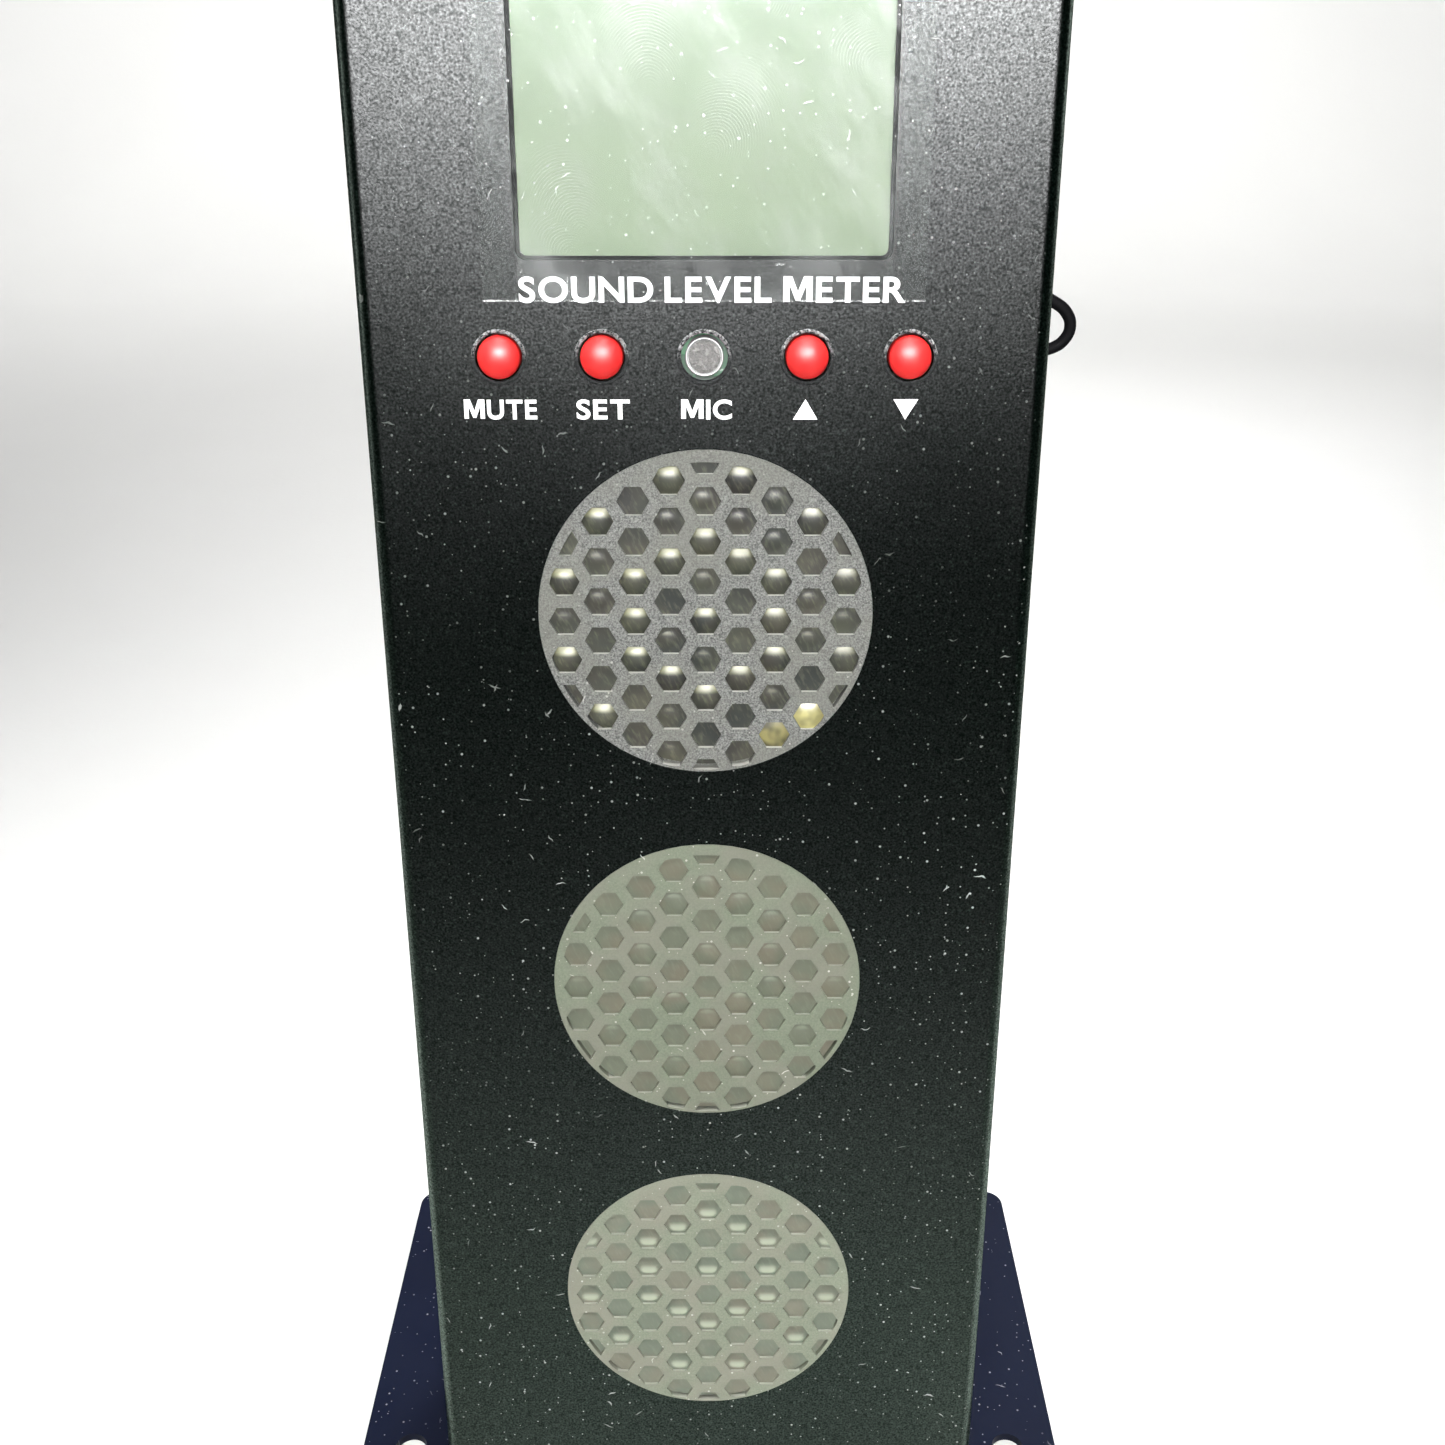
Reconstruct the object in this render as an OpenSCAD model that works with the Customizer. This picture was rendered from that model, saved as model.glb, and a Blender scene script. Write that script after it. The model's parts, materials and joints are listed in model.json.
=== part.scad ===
// Desk sound level meter: a leaning sheet metal case on a flat foot, with a display, four
// buttons, a microphone and three round warning lights behind honeycomb nets.
// The case is drawn upright in its own frame (x across, y backwards, z up the face) and
// leaned() tips it back onto the foot. The origin is the centre of the foot's underside.

/* [Case] */
// Width of the case
body_w = 105.4; // [100:0.2:112]
// Height of the case, along its face
body_h = 320; // [312:1:330]
// Depth of the case
body_d = 40; // [38:1:46]
// Thickness of the sheet metal
sheet = 1.5; // [1.2:0.1:1.8]
// Outside radius of the upright front edges
edge_r = 2.5; // [2:0.1:3]
// How far the case leans back, in degrees
lean = 7; // [5:0.5:9]
// Height of the case's lower edge up the line of its face
body_gap = 6; // [6:0.5:8]

/* [Foot] */
// Width of the foot plate
foot_w = 145; // [140:1:160]
// Depth of the foot plate
foot_d = 83; // [80:1:100]
// Thickness of the foot plate
foot_t = 2; // [2:0.5:3]
// Radius of the foot plate's corners
foot_corner = 4; // [2:0.5:6]
// Distance from the foot plate's edges to its fixing holes
hole_inset = 10; // [9:0.5:12]
// Radius of the fixing holes
foot_hole_r = 3.25; // [2.5:0.05:3.5]

/* [Warning lights] */
// Radius of a round window
window_r = 27; // [26:0.5:28]
// Distance between the windows' centres
window_pitch = 67.4; // [66:0.2:70]
// Height of the upper window's centre up the face
window_top = 185; // [182:1:188]
// Distance between the net's neighbouring cells
cell_pitch = 6.55; // [6.4:0.05:6.8]
// Width of a cell across its flats
cell_flat = 4.5; // [4:0.1:5]
// Thickness of the net
net_t = 0.8; // [0.6:0.1:1.2]

/* [Controls] */
// Height of the button row above the upper window's centre
row_above = 41; // [40:0.5:43]
// Distance between the buttons
button_pitch = 15.65; // [15:0.05:16]
// Radius of a button cap
button_r = 3.25; // [3:0.05:3.4]
// Radius of a button hole
button_hole_r = 3.6; // [3.5:0.05:4]
// How far a button can be pressed
button_travel = 0.5; // [0.3:0.1:0.6]

/* [Display] */
// Width of the display window
screen_w = 56.2; // [54:0.2:58]
// Height of the display window
screen_h = 60; // [50:1:64]
// Height of the display window's lower edge above the upper window's centre
screen_above = 55.2; // [54:0.2:57]

/* [Power lead] */
// Diameter of the power lead
lead_d = 2.2; // [2:0.1:2.4]
// Radius of the coil at the middle of its turns
coil_r = 12.5; // [12:0.5:13]

/* [Hidden] */
$fn = 48;

face_y = -foot_d / 2;
top_z = body_gap + body_h;
inner_w = body_w - 2 * sheet;
lip = 8;
lip_t = 1.5;
cover_t = 1.5;
cover_y = body_d - cover_t;
cover_gap = 0.15;
windows = [for (i = [0:2]) window_top - i * window_pitch];
row_z = window_top + row_above;
mute_x = -2 * button_pitch;
setting_x = -button_pitch;
up_x = button_pitch;
down_x = 2 * button_pitch;
button_xs = [mute_x, setting_x, up_x, down_x];

// Depths behind the face
net_rim_y = 2.3;
board_y = 10.6;
board_t = 1.6;
board_back_y = board_y + board_t;
led_tip_y = 2.5;
led_r = 2.5;
glass_y = 2;
glass_t = 2.8;
light_t = 4;
switch_h = 3.5;
stem_y = board_y - switch_h + 0.7;
mic_board_y = 3.6;
header_h = 4.8;
ribbon_y = board_back_y + header_h;

// The display and the boards, as centre heights and sizes
screen_z = window_top + screen_above + screen_h / 2;
glass_w = screen_w + 6;
glass_h = screen_h + 8;
frame_wall = 2;
led_board_w = 64;
led_spacer = 28;
main_w = 92;
main_h = 96;
main_z = row_z - 7 + main_h / 2;
main_spacer_x = main_w / 2 - 4;
main_spacer_z = main_h / 2 - 4;

// Screws
m3_r = 1.45;
m3_hole_r = 1.5;
m3_head_r = 2.8;
m3_head_h = 1.8;
m4_r = 1.95;
m4_hole_r = 2;
m4_head_r = 3.9;
m4_head_h = 2.2;
cover_screw_x = inner_w / 2 - lip / 2;
cover_screw_zs = [body_gap + sheet + lip / 2, window_top - 30, top_z - sheet - lip / 2];
cover_screw_l = 7;

// The bracket that holds the case on the foot
bracket_w = 80;
bracket_t = 2;
bracket_top = 84;
bracket_end = 27;
bend_r = 1.5;
flange_screw_y = 16;
leg_screw_x = 28;
leg_screw_zs = [30, 72];
foot_screw_x = 28;

// The power socket and the angled plug in it
jack_x = 8;
jack_z = 254.5;
jack_end = 42.5;
jack_bore_r = 2.85;
plug_angle = 24;
plug_mid = 5;
plug_head_r = 5.2;
plug_arm_r = 3.9;
plug_arm = 15;
relief = 13;

// The lead's route from the plug to the coil behind the foot, by its centreline
route = [[33.5, 35.3, 237.5], [38, 35.2, 235.5], [43.5, 35, 233], [49, 34.8, 230.6],
    [54.5, 34.5, 228.1], [59, 34.2, 226.2], [62.5, 34, 224.6], [65, 34, 222.7],
    [66, 34, 220.2], [65.2, 34, 217.8], [63, 34, 216.2], [60, 34, 215.8], [54, 34, 216],
    [47, 34, 215.6], [41, 34, 214], [36, 34, 210.6], [32.5, 34, 205.5], [30.5, 34, 199],
    [29, 34, 186], [27, 34, 165], [25, 35, 140], [23, 36, 115], [21, 37, 90], [20, 39, 65],
    [18, 42, 44], [16, 45, 28], [13, 48, 15], [9, 49.5, 7], [4, 49, 3], [-3, 47.6, 1.9],
    [-9, 46.5, 1.7]];
coil_x = -14;
coil_y = 62;
turns = 4;
coil_half = turns * lead_d / 2;
tie_t = 0.6;
tie_w = 7;
tail_z = 4;
tail = [[-12, 77.8, 3.9], [-8, 77.8, 4], [-3, 77.8, tail_z], [3, 77.8, tail_z]];
usb_x = 3;
usb_y = 77.8;
usb_relief = 10;
usb_body = [21, 15, 7.6];
usb_metal = [13, 12, 4.5];

black = "#1b1d1f";
board_green = "#1f6b3a";
board_dark = "#15171a";

// ---------- Shared shapes ----------

// Tips what is drawn in the case's frame back onto the foot
module leaned() {
    translate([0, face_y, foot_t]) rotate([-lean, 0, 0]) children();
}

// Extrudes an outline in x and z between two depths behind the face
module slab(from, to) {
    translate([0, to, 0]) rotate([90, 0, 0]) linear_extrude(to - from) children();
}

// A round bar or hole along the case's depth
module rod(x, z, r, from, to, sides = $fn) {
    translate([x, from, z]) rotate([-90, 0, 0]) cylinder(r = r, h = to - from, $fn = sides);
}

module block(size, x, z, from) {
    translate([x - size[0] / 2, from, z - size[1] / 2]) cube([size[0], size[2], size[1]]);
}

module rounded_rect(w, h, r) {
    square([w - 2 * r, h], center = true);
    square([w, h - 2 * r], center = true);
    for (x = [-1, 1], y = [-1, 1])
        translate([x * (w / 2 - r), y * (h / 2 - r)]) circle(r);
}

// The case's outline seen from above, pulled in by an inset
module case_outline(inset, back) {
    r = edge_r - inset;
    half = body_w / 2 - inset;
    translate([-half, edge_r]) square([2 * half, back - edge_r]);
    translate([-half + r, inset]) square([2 * half - 2 * r, r + 0.01]);
    for (s = [-1, 1])
        translate([s * (half - r), edge_r]) circle(r);
}

module pan_screw(r, length, head_r, head_h) {
    translate([0, 0, -length]) cylinder(r = r, h = length);
    difference() {
        intersection() {
            cylinder(r = head_r, h = head_h);
            translate([0, 0, head_h - 2 * head_r]) sphere(2 * head_r);
        }
        for (a = [0, 90])
            rotate(a) translate([0, 0, head_h])
                cube([head_r * 1.2, head_r * 0.25, head_h], center = true);
    }
}

// A tube swept along points: a ring of corners at each, square to its neighbours. The
// direction across is one that the tube never runs along
function unit(v) = v / norm(v);
function along(p, i) = unit(p[min(i + 1, len(p) - 1)] - p[max(i - 1, 0)]);
module tube(p, d, across = [0, 1, 0], sides = 8) {
    n = len(p);
    corners = [for (i = [0:n - 1])
        let (t = along(p, i), a = unit(cross(t, across)), b = cross(t, a))
        for (k = [0:sides - 1]) p[i] + d / 2 * (cos(360 * k / sides) * a
            + sin(360 * k / sides) * b)];
    walls = [for (i = [0:n - 2], k = [0:sides - 1]) let (m = (k + 1) % sides)
        [i * sides + m, i * sides + k, (i + 1) * sides + k, (i + 1) * sides + m]];
    first = [for (k = [0:sides - 1]) k];
    last = [for (k = [sides - 1:-1:0]) (n - 1) * sides + k];
    polyhedron(corners, concat([first], walls, [last]));
}

// ---------- Case ----------

module face_openings() {
    for (z = windows)
        rod(0, z, window_r, -1, sheet + 1, 96);
    for (x = button_xs)
        rod(x, row_z, button_hole_r, -1, sheet + 1);
    rod(0, row_z, button_hole_r, -1, sheet + 1);
    slab(-1, sheet + 1) translate([0, screen_z]) rounded_rect(screen_w, screen_h, 1.5);
}

module cover_screw_places() {
    for (x = [-1, 1], z = cover_screw_zs)
        translate([x * cover_screw_x, 0, z]) children();
}

module front_shell() {
    color(black) leaned() difference() {
        translate([0, 0, body_gap]) linear_extrude(body_h) case_outline(0, body_d);
        translate([0, 0, body_gap + sheet]) linear_extrude(body_h - 2 * sheet)
            case_outline(sheet, cover_y - lip_t);
        block([inner_w, body_h - 2 * sheet, 10], 0, body_gap + body_h / 2, cover_y);
        block([inner_w - 2 * lip, body_h - 2 * sheet - 2 * lip, 10], 0,
            body_gap + body_h / 2, cover_y - lip_t - 1);
        face_openings();
        cover_screw_places() rod(0, 0, m3_hole_r, cover_y - lip_t - 1, cover_y + 1);
    }
}

module rear_cover() {
    slot_w = 2;
    slot_l = 18;
    color(black) leaned() difference() {
        block([inner_w - 2 * cover_gap, body_h - 2 * sheet - 2 * cover_gap, cover_t], 0,
            body_gap + body_h / 2, cover_y);
        cover_screw_places() rod(0, 0, m3_hole_r, cover_y - 1, body_d + 1);
        rod(jack_x, jack_z, 4.05, cover_y - 1, body_d + 1);
        for (x = [-1, 1], z = leg_screw_zs)
            rod(x * leg_screw_x, z, m4_hole_r, cover_y - 1, body_d + 1);
        for (bank = [-30, 30], i = [0:5])
            slab(cover_y - 1, body_d + 1)
                translate([bank, window_top + 8 - 5 * i])
                    rounded_rect(slot_l, slot_w, slot_w / 2 - 0.05);
        for (i = [0:4])
            slab(cover_y - 1, body_d + 1)
                translate([-28, 262 + 5 * i]) rounded_rect(slot_l, slot_w, slot_w / 2 - 0.05);
    }
}

module cover_screws() {
    color("#2a2c2e") leaned() cover_screw_places()
        translate([0, body_d, 0]) rotate([-90, 0, 0])
            pan_screw(m3_r, cover_screw_l, m3_head_r, m3_head_h);
}

// ---------- Stand ----------

module foot_holes() {
    for (x = [-1, 1], y = [-1, 1])
        translate([x * (foot_w / 2 - hole_inset), y * (foot_d / 2 - hole_inset)]) children();
}

// The height and depth, in the row's frame, of a point in the case's frame
function tipped(v, w) = [face_y + v * cos(lean) + w * sin(lean),
    foot_t - v * sin(lean) + w * cos(lean)];
function arc(c, r, from, to) = [for (i = [0:8]) let (a = from + (to - from) * i / 8)
    c + r * [cos(a), sin(a)]];

module foot_plate() {
    color("#171a26") difference() {
        linear_extrude(foot_t) rounded_rect(foot_w, foot_d, foot_corner);
        foot_holes() translate([0, 0, -1]) cylinder(r = foot_hole_r, h = foot_t + 2);
        for (x = [-1, 1])
            translate([x * foot_screw_x, flange_screw_y, -1])
                cylinder(r = m4_hole_r, h = foot_t + 2);
    }
}

// A bent strip: its leg lies on the case's back and its flange on the foot
module stand_bracket() {
    outer_r = bend_r + bracket_t;
    bend_v = body_d + outer_r;
    bend = tipped(bend_v, (outer_r + bend_v * sin(lean)) / cos(lean));
    profile = concat([tipped(body_d, bracket_top)], arc(bend, outer_r, 180 - lean, 270),
        [[bracket_end, foot_t], [bracket_end, foot_t + bracket_t]],
        arc(bend, bend_r, 270, 180 - lean), [tipped(body_d + bracket_t, bracket_top)]);
    color("#171a26") difference() {
        translate([-bracket_w / 2, 0, 0]) rotate([90, 0, 90])
            linear_extrude(bracket_w) polygon(profile);
        leaned() for (x = [-1, 1], z = leg_screw_zs)
            rod(x * leg_screw_x, z, m4_hole_r, body_d - 1, body_d + bracket_t + 1);
        for (x = [-1, 1])
            translate([x * foot_screw_x, flange_screw_y, foot_t - 1])
                cylinder(r = m4_hole_r, h = bracket_t + 2);
    }
}

module stand_screws() {
    color("silver") {
        leaned() for (x = [-1, 1], z = leg_screw_zs)
            translate([x * leg_screw_x, body_d + bracket_t, z]) rotate([-90, 0, 0])
                pan_screw(m4_r, 8, m4_head_r, m4_head_h);
        for (x = [-1, 1])
            translate([x * foot_screw_x, flange_screw_y, foot_t + bracket_t])
                pan_screw(m4_r, foot_t + bracket_t, m4_head_r, m4_head_h);
    }
}

module stand_nuts() {
    nut_h = 2.4;
    color("silver") leaned() for (x = [-1, 1], z = leg_screw_zs)
        difference() {
            rod(x * leg_screw_x, z, 4, cover_y - nut_h, cover_y, 6);
            rod(x * leg_screw_x, z, m4_hole_r, cover_y - nut_h - 1, cover_y + 1);
        }
}

// ---------- Warning lights ----------

// Cells are numbered by column, and by row in steps of half a cell
columns = 4;
grid_drop = 0.8;
grid_r = window_r - 1.2;
function cell(column, row) = [column * cell_pitch * cos(30), row * cell_pitch - grid_drop];
function cell_row(column, i) = i - (column % 2 == 0 ? 0 : 0.5);

// The columns and rows of the lamps in a window, for its right half; the left mirrors it
lamps_a = [[0, 2], [0, 0], [0, -2], [1, 3.5], [1, 1.5], [1, -1.5], [2, 1], [2, 0], [2, -1],
    [3, 2.5], [3, -2.5], [4, 1], [4, -1]];
lamps_b = [[0, 3], [0, 1], [0, -1], [1, 2.5], [1, -0.5], [1, -2.5], [2, 2], [2, 1], [2, 0],
    [3, -1.5], [4, 2], [4, 0]];
lamp_sets = [lamps_a, lamps_b, lamps_b];

module net(i) {
    rim = window_r - 1;
    color("#7c8076") leaned() {
        difference() {
            union() {
                rod(0, windows[i], window_r - 0.05, 0, sheet, 96);
                rod(0, windows[i], window_r + 2.5, sheet, net_rim_y, 96);
            }
            rod(0, windows[i], rim, net_t, net_rim_y + 1, 96);
            slab(-1, net_t + 1) translate([0, windows[i]]) intersection() {
                translate([0, -grid_drop]) circle(grid_r, $fn = 96);
                for (column = [-columns:columns], k = [-4:5])
                    translate(cell(column, cell_row(column, k)))
                        circle(cell_flat / sqrt(3), $fn = 6);
            }
        }
    }
}

module lamp_places(i) {
    for (lamp = lamp_sets[i], s = lamp[0] == 0 ? [1] : [-1, 1])
        let (p = cell(s * lamp[0], lamp[1]))
            translate([p[0], 0, windows[i] + p[1]]) children();
}

module leds(i) {
    color("#cfd4c8") leaned() lamp_places(i) {
        rod(0, 0, led_r, led_tip_y + led_r, board_y, 24);
        translate([0, led_tip_y + led_r, 0]) sphere(led_r, $fn = 24);
        rod(0, 0, led_r + 0.4, board_y - 1, board_y, 24);
    }
}

module led_board(i) {
    color(board_dark) leaned() difference() {
        slab(board_y, board_back_y) translate([0, windows[i]])
            rounded_rect(led_board_w, led_board_w, 2);
        for (x = [-1, 1], z = [-1, 1])
            rod(x * led_spacer, windows[i] + z * led_spacer, m3_hole_r, board_y - 1,
                board_back_y + 1);
    }
}

// ---------- Display ----------

module screen_film() {
    film_w = 66.4;
    film_low = 49.2;
    film_h = 69;
    film_t = 0.15;
    color("white", 0.3) leaned() slab(-film_t, 0)
        translate([0, window_top + film_low + film_h / 2]) rounded_rect(film_w, film_h, 2);
}

module lcd_glass() {
    color("#8d9a82") leaned() block([glass_w, glass_h, glass_t], 0, screen_z, glass_y);
}

module lcd_backlight() {
    color("white") leaned()
        block([glass_w - 2, glass_h - 2, light_t], 0, screen_z, glass_y + glass_t);
}

module lcd_frame() {
    color(black) leaned() difference() {
        block([glass_w + 2 * frame_wall, glass_h + 2 * frame_wall, board_y - glass_y], 0,
            screen_z, glass_y);
        block([glass_w + 0.1, glass_h + 0.1, glass_t + 1], 0, screen_z, glass_y - 1);
        block([glass_w - 1.9, glass_h - 1.9, light_t + 1], 0, screen_z,
            glass_y + glass_t - 1);
    }
}

// ---------- Controls and microphone ----------

module button(x) {
    dome_r = 4.5;
    rise = 1.4;
    skirt_y = 0.4;
    cap_back = 4;
    color("#d3131b") leaned() {
        intersection() {
            rod(x, row_z, button_r, -skirt_y - rise, cap_back);
            translate([x, dome_r - skirt_y - rise, row_z]) sphere(dome_r, $fn = 64);
        }
        rod(x, row_z, button_r, -skirt_y, cap_back);
        rod(x, row_z, 1.5, cap_back, stem_y);
    }
}

module tact_switches() {
    color("#303234") leaned() for (x = button_xs)
        difference() {
            block([6, 6, switch_h], x, row_z, board_y - switch_h);
            rod(x, row_z, 1.56, board_y - switch_h - 1, stem_y + button_travel + 0.3);
        }
}

mic_r = 2.93;
mic_front = 0.3;

module mic_can() {
    color("silver") leaned() difference() {
        rod(0, row_z, mic_r, mic_front, mic_board_y);
        rod(0, row_z, mic_r - 0.45, mic_front - 1, mic_front + 0.7);
    }
}

module mic_felt() {
    color("#8f9492") leaned() rod(0, row_z, mic_r - 0.5, mic_front + 0.15, mic_front + 0.7);
}

module mic_board() {
    color(board_green) leaned() {
        rod(0, row_z, 5.5, mic_board_y, mic_board_y + 1.2);
        for (s = [-1, 1])
            rod(s * 1.27, row_z, 0.4, mic_board_y + 1.2, board_y, 16);
    }
}

// ---------- Boards ----------

module main_spacer_places() {
    for (x = [-1, 1], z = [-1, 1])
        translate([x * main_spacer_x, 0, main_z + z * main_spacer_z]) children();
}

module spacer_places() {
    main_spacer_places() children();
    for (i = [0:2], x = [-1, 1], z = [-1, 1])
        translate([x * led_spacer, 0, windows[i] + z * led_spacer]) children();
}

module main_board() {
    color(board_green) leaned() difference() {
        slab(board_y, board_back_y) translate([0, main_z]) rounded_rect(main_w, main_h, 2);
        main_spacer_places() rod(0, 0, m3_hole_r, board_y - 1, board_back_y + 1);
    }
}

module board_spacers() {
    color("#b08d3c") leaned() spacer_places() difference() {
        rod(0, 0, 2.9, sheet, board_y, 6);
        rod(0, 0, m3_hole_r, board_y - 6, board_y + 1);
    }
}

module board_screws() {
    color("silver") leaned() spacer_places()
        translate([0, board_back_y, 0]) rotate([-90, 0, 0])
            pan_screw(m3_r, 5, m3_head_r, m3_head_h);
}

module controller_chip() {
    pins = 8;
    color("#222222") leaned() {
        block([12, 12, 1.4], 14, 275, board_back_y + 0.1);
        for (s = [-1, 1], i = [0:pins - 1]) {
            block([1.6, 0.5, 0.3], 14 + s * 6.6, 275 + (i - (pins - 1) / 2) * 1.27, board_back_y);
            block([0.5, 1.6, 0.3], 14 + (i - (pins - 1) / 2) * 1.27, 275 + s * 6.6, board_back_y);
        }
    }
}

module driver_chips() {
    color("#222222") leaned() for (z = windows)
        block([10, 6, 1.5], 8, z, board_back_y);
}

module buzzer() {
    color("#222222") leaned() difference() {
        rod(-28, 272, 6, board_back_y, board_back_y + 8.5);
        rod(-28, 272, 1, board_back_y + 5, board_back_y + 9);
    }
}

header_x = -16;
header_zs = concat([row_z + 6], windows);

module ribbon_headers() {
    color("#e8e6dc") leaned() for (z = header_zs)
        block([20, 7, header_h], header_x, z, board_back_y);
}

module led_ribbon() {
    low = windows[2] - 3;
    high = row_z + 9;
    color("#a7aaac") leaned()
        block([16, high - low, 0.9], header_x, (low + high) / 2, ribbon_y);
}

module power_header() {
    color("#e8e6dc") leaned() block([8, 6, 6], 34, 262, board_back_y);
}

module jack_wires() {
    back = board_back_y + 6;
    for (s = [-1, 1])
        color(s < 0 ? "#b01818" : "#202020") leaned()
            tube([[jack_x + s * 2, 25, jack_z], [jack_x + s * 2, 23, jack_z],
                [jack_x + s * 2 + 2, 21.5, jack_z + 1], [jack_x + s * 2 + 7, 21, jack_z + 3],
                [27 + s * 2, 21, 259], [32 + s * 1.5, 21, 261.5], [34 + s * 1.5, 20, 262],
                [34 + s * 1.5, back, 262]], 1.5, [1, 0, -1]);
}

// ---------- Power socket and lead ----------

module dc_jack() {
    color("#26282a") leaned() {
        difference() {
            union() {
                rod(jack_x, jack_z, 5, 25, cover_y - 2);
                rod(jack_x, jack_z, 6.2, cover_y - 2, cover_y);
                rod(jack_x, jack_z, 3.95, cover_y, jack_end);
            }
            rod(jack_x, jack_z, jack_bore_r, 31, jack_end + 1);
        }
        rod(jack_x, jack_z, 1, 30.5, jack_end - 1.5, 24);
    }
}

module jack_nut() {
    color("silver") leaned() difference() {
        rod(jack_x, jack_z, 6.2, body_d, body_d + 2, 6);
        rod(jack_x, jack_z, 4.05, body_d - 1, body_d + 3);
    }
}

// The plug turns in its socket, and its arm points right and a little down
module dc_plug() {
    mid = jack_end + plug_mid;
    color(black) leaned() translate([jack_x, 0, jack_z]) rotate([0, plug_angle, 0]) {
        difference() {
            rod(0, 0, jack_bore_r - 0.1, 33, jack_end + 0.5);
            rod(0, 0, 1.15, 32, jack_end);
        }
        rod(0, 0, plug_head_r, jack_end, mid + plug_mid);
        translate([0, mid, 0]) rotate([0, 90, 0]) cylinder(r = plug_arm_r, h = plug_arm);
        translate([plug_arm, mid, 0]) rotate([0, 90, 0])
            cylinder(r1 = 2.6, r2 = 1.6, h = relief);
    }
}

module power_lead() {
    color(black) tube(route, lead_d);
}

module lead_coil() {
    color(black) translate([coil_x, coil_y, tie_t]) rotate_extrude($fn = 64)
        translate([coil_r - coil_half, 0]) square([2 * coil_half, 2 * lead_d]);
}

module lead_tail() {
    color(black) tube(tail, lead_d);
}

module coil_tie() {
    depth = 2 * coil_half;
    color("#3a3c40") translate([coil_x - coil_r, coil_y, 0]) difference() {
        translate([-depth / 2 - tie_t, -tie_w / 2, 0])
            cube([depth + 2 * tie_t, tie_w, 2 * lead_d + 2 * tie_t]);
        translate([-depth / 2, -tie_w, tie_t]) cube([depth, 2 * tie_w, 2 * lead_d]);
    }
}

module usb_overmould() {
    color(black) translate([usb_x, usb_y, usb_body[2] / 2]) {
        rotate([0, 90, 0]) cylinder(r1 = 1.7, r2 = 2.9, h = usb_relief + 0.5);
        translate([usb_relief, 0, 0]) rotate([0, 90, 0]) linear_extrude(usb_body[0])
            rounded_rect(usb_body[2], usb_body[1], 2);
    }
}

module usb_shell() {
    skin = 0.4;
    color("silver") translate([usb_x + usb_relief + usb_body[0], usb_y, usb_body[2] / 2]) {
        difference() {
            translate([0, -usb_metal[1] / 2, -usb_metal[2] / 2]) cube(usb_metal);
            translate([1, -usb_metal[1] / 2 + skin, -usb_metal[2] / 2 + skin])
                cube([usb_metal[0], usb_metal[1] - 2 * skin, usb_metal[2] - 2 * skin]);
        }
        translate([1, -usb_metal[1] / 2 + skin, -usb_metal[2] / 2 + skin])
            cube([usb_metal[0] - 2, usb_metal[1] - 2 * skin, 1.8]);
    }
}

front_shell();
rear_cover();
cover_screws();
foot_plate();
stand_bracket();
stand_screws();
stand_nuts();
net(0);  // net_upper
net(1);  // net_middle
net(2);  // net_lower
led_board(0);  // led_board_upper
led_board(1);  // led_board_middle
led_board(2);  // led_board_lower
leds(0);  // leds_upper
leds(1);  // leds_middle
leds(2);  // leds_lower
screen_film();
lcd_glass();
lcd_frame();
lcd_backlight();
main_board();
controller_chip();
driver_chips();
buzzer();
tact_switches();
button(mute_x);  // button_mute
button(setting_x);  // button_setting
button(up_x);  // button_up
button(down_x);  // button_down
mic_can();
mic_felt();
mic_board();
board_spacers();
board_screws();
led_ribbon();
ribbon_headers();
power_header();
jack_wires();
dc_jack();
jack_nut();
dc_plug();
power_lead();
lead_coil();
lead_tail();
coil_tie();
usb_overmould();
usb_shell();
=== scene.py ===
"""Desk sound level meter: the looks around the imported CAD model.

A leaning black sheet metal case on a navy foot, with a display, four red buttons, a microphone
and three round warning lights behind grey honeycomb nets. Places are worked out in the case's
own frame in millimetres (u across, v behind the face, w up the face), and at() turns them into
the model's frame in metres.
"""
import json
import math
import random

import bmesh
import bpy
from mathutils import Matrix, Vector


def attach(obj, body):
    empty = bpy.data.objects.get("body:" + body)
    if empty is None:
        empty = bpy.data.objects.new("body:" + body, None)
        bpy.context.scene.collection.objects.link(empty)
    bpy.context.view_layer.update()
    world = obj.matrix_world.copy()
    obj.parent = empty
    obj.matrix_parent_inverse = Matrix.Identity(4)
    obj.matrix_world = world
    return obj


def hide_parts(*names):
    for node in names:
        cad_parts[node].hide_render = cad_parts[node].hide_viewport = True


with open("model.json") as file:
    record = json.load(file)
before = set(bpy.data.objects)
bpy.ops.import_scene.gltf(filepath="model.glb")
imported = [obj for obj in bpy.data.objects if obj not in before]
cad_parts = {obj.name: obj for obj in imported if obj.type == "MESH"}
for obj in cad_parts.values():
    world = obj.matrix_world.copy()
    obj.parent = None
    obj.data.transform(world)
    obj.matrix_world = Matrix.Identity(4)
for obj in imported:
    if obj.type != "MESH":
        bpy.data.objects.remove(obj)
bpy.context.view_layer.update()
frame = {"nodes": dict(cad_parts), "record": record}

scene = bpy.context.scene
nodes = frame["nodes"]

# ---------- Sizes, in millimetres ----------

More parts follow.
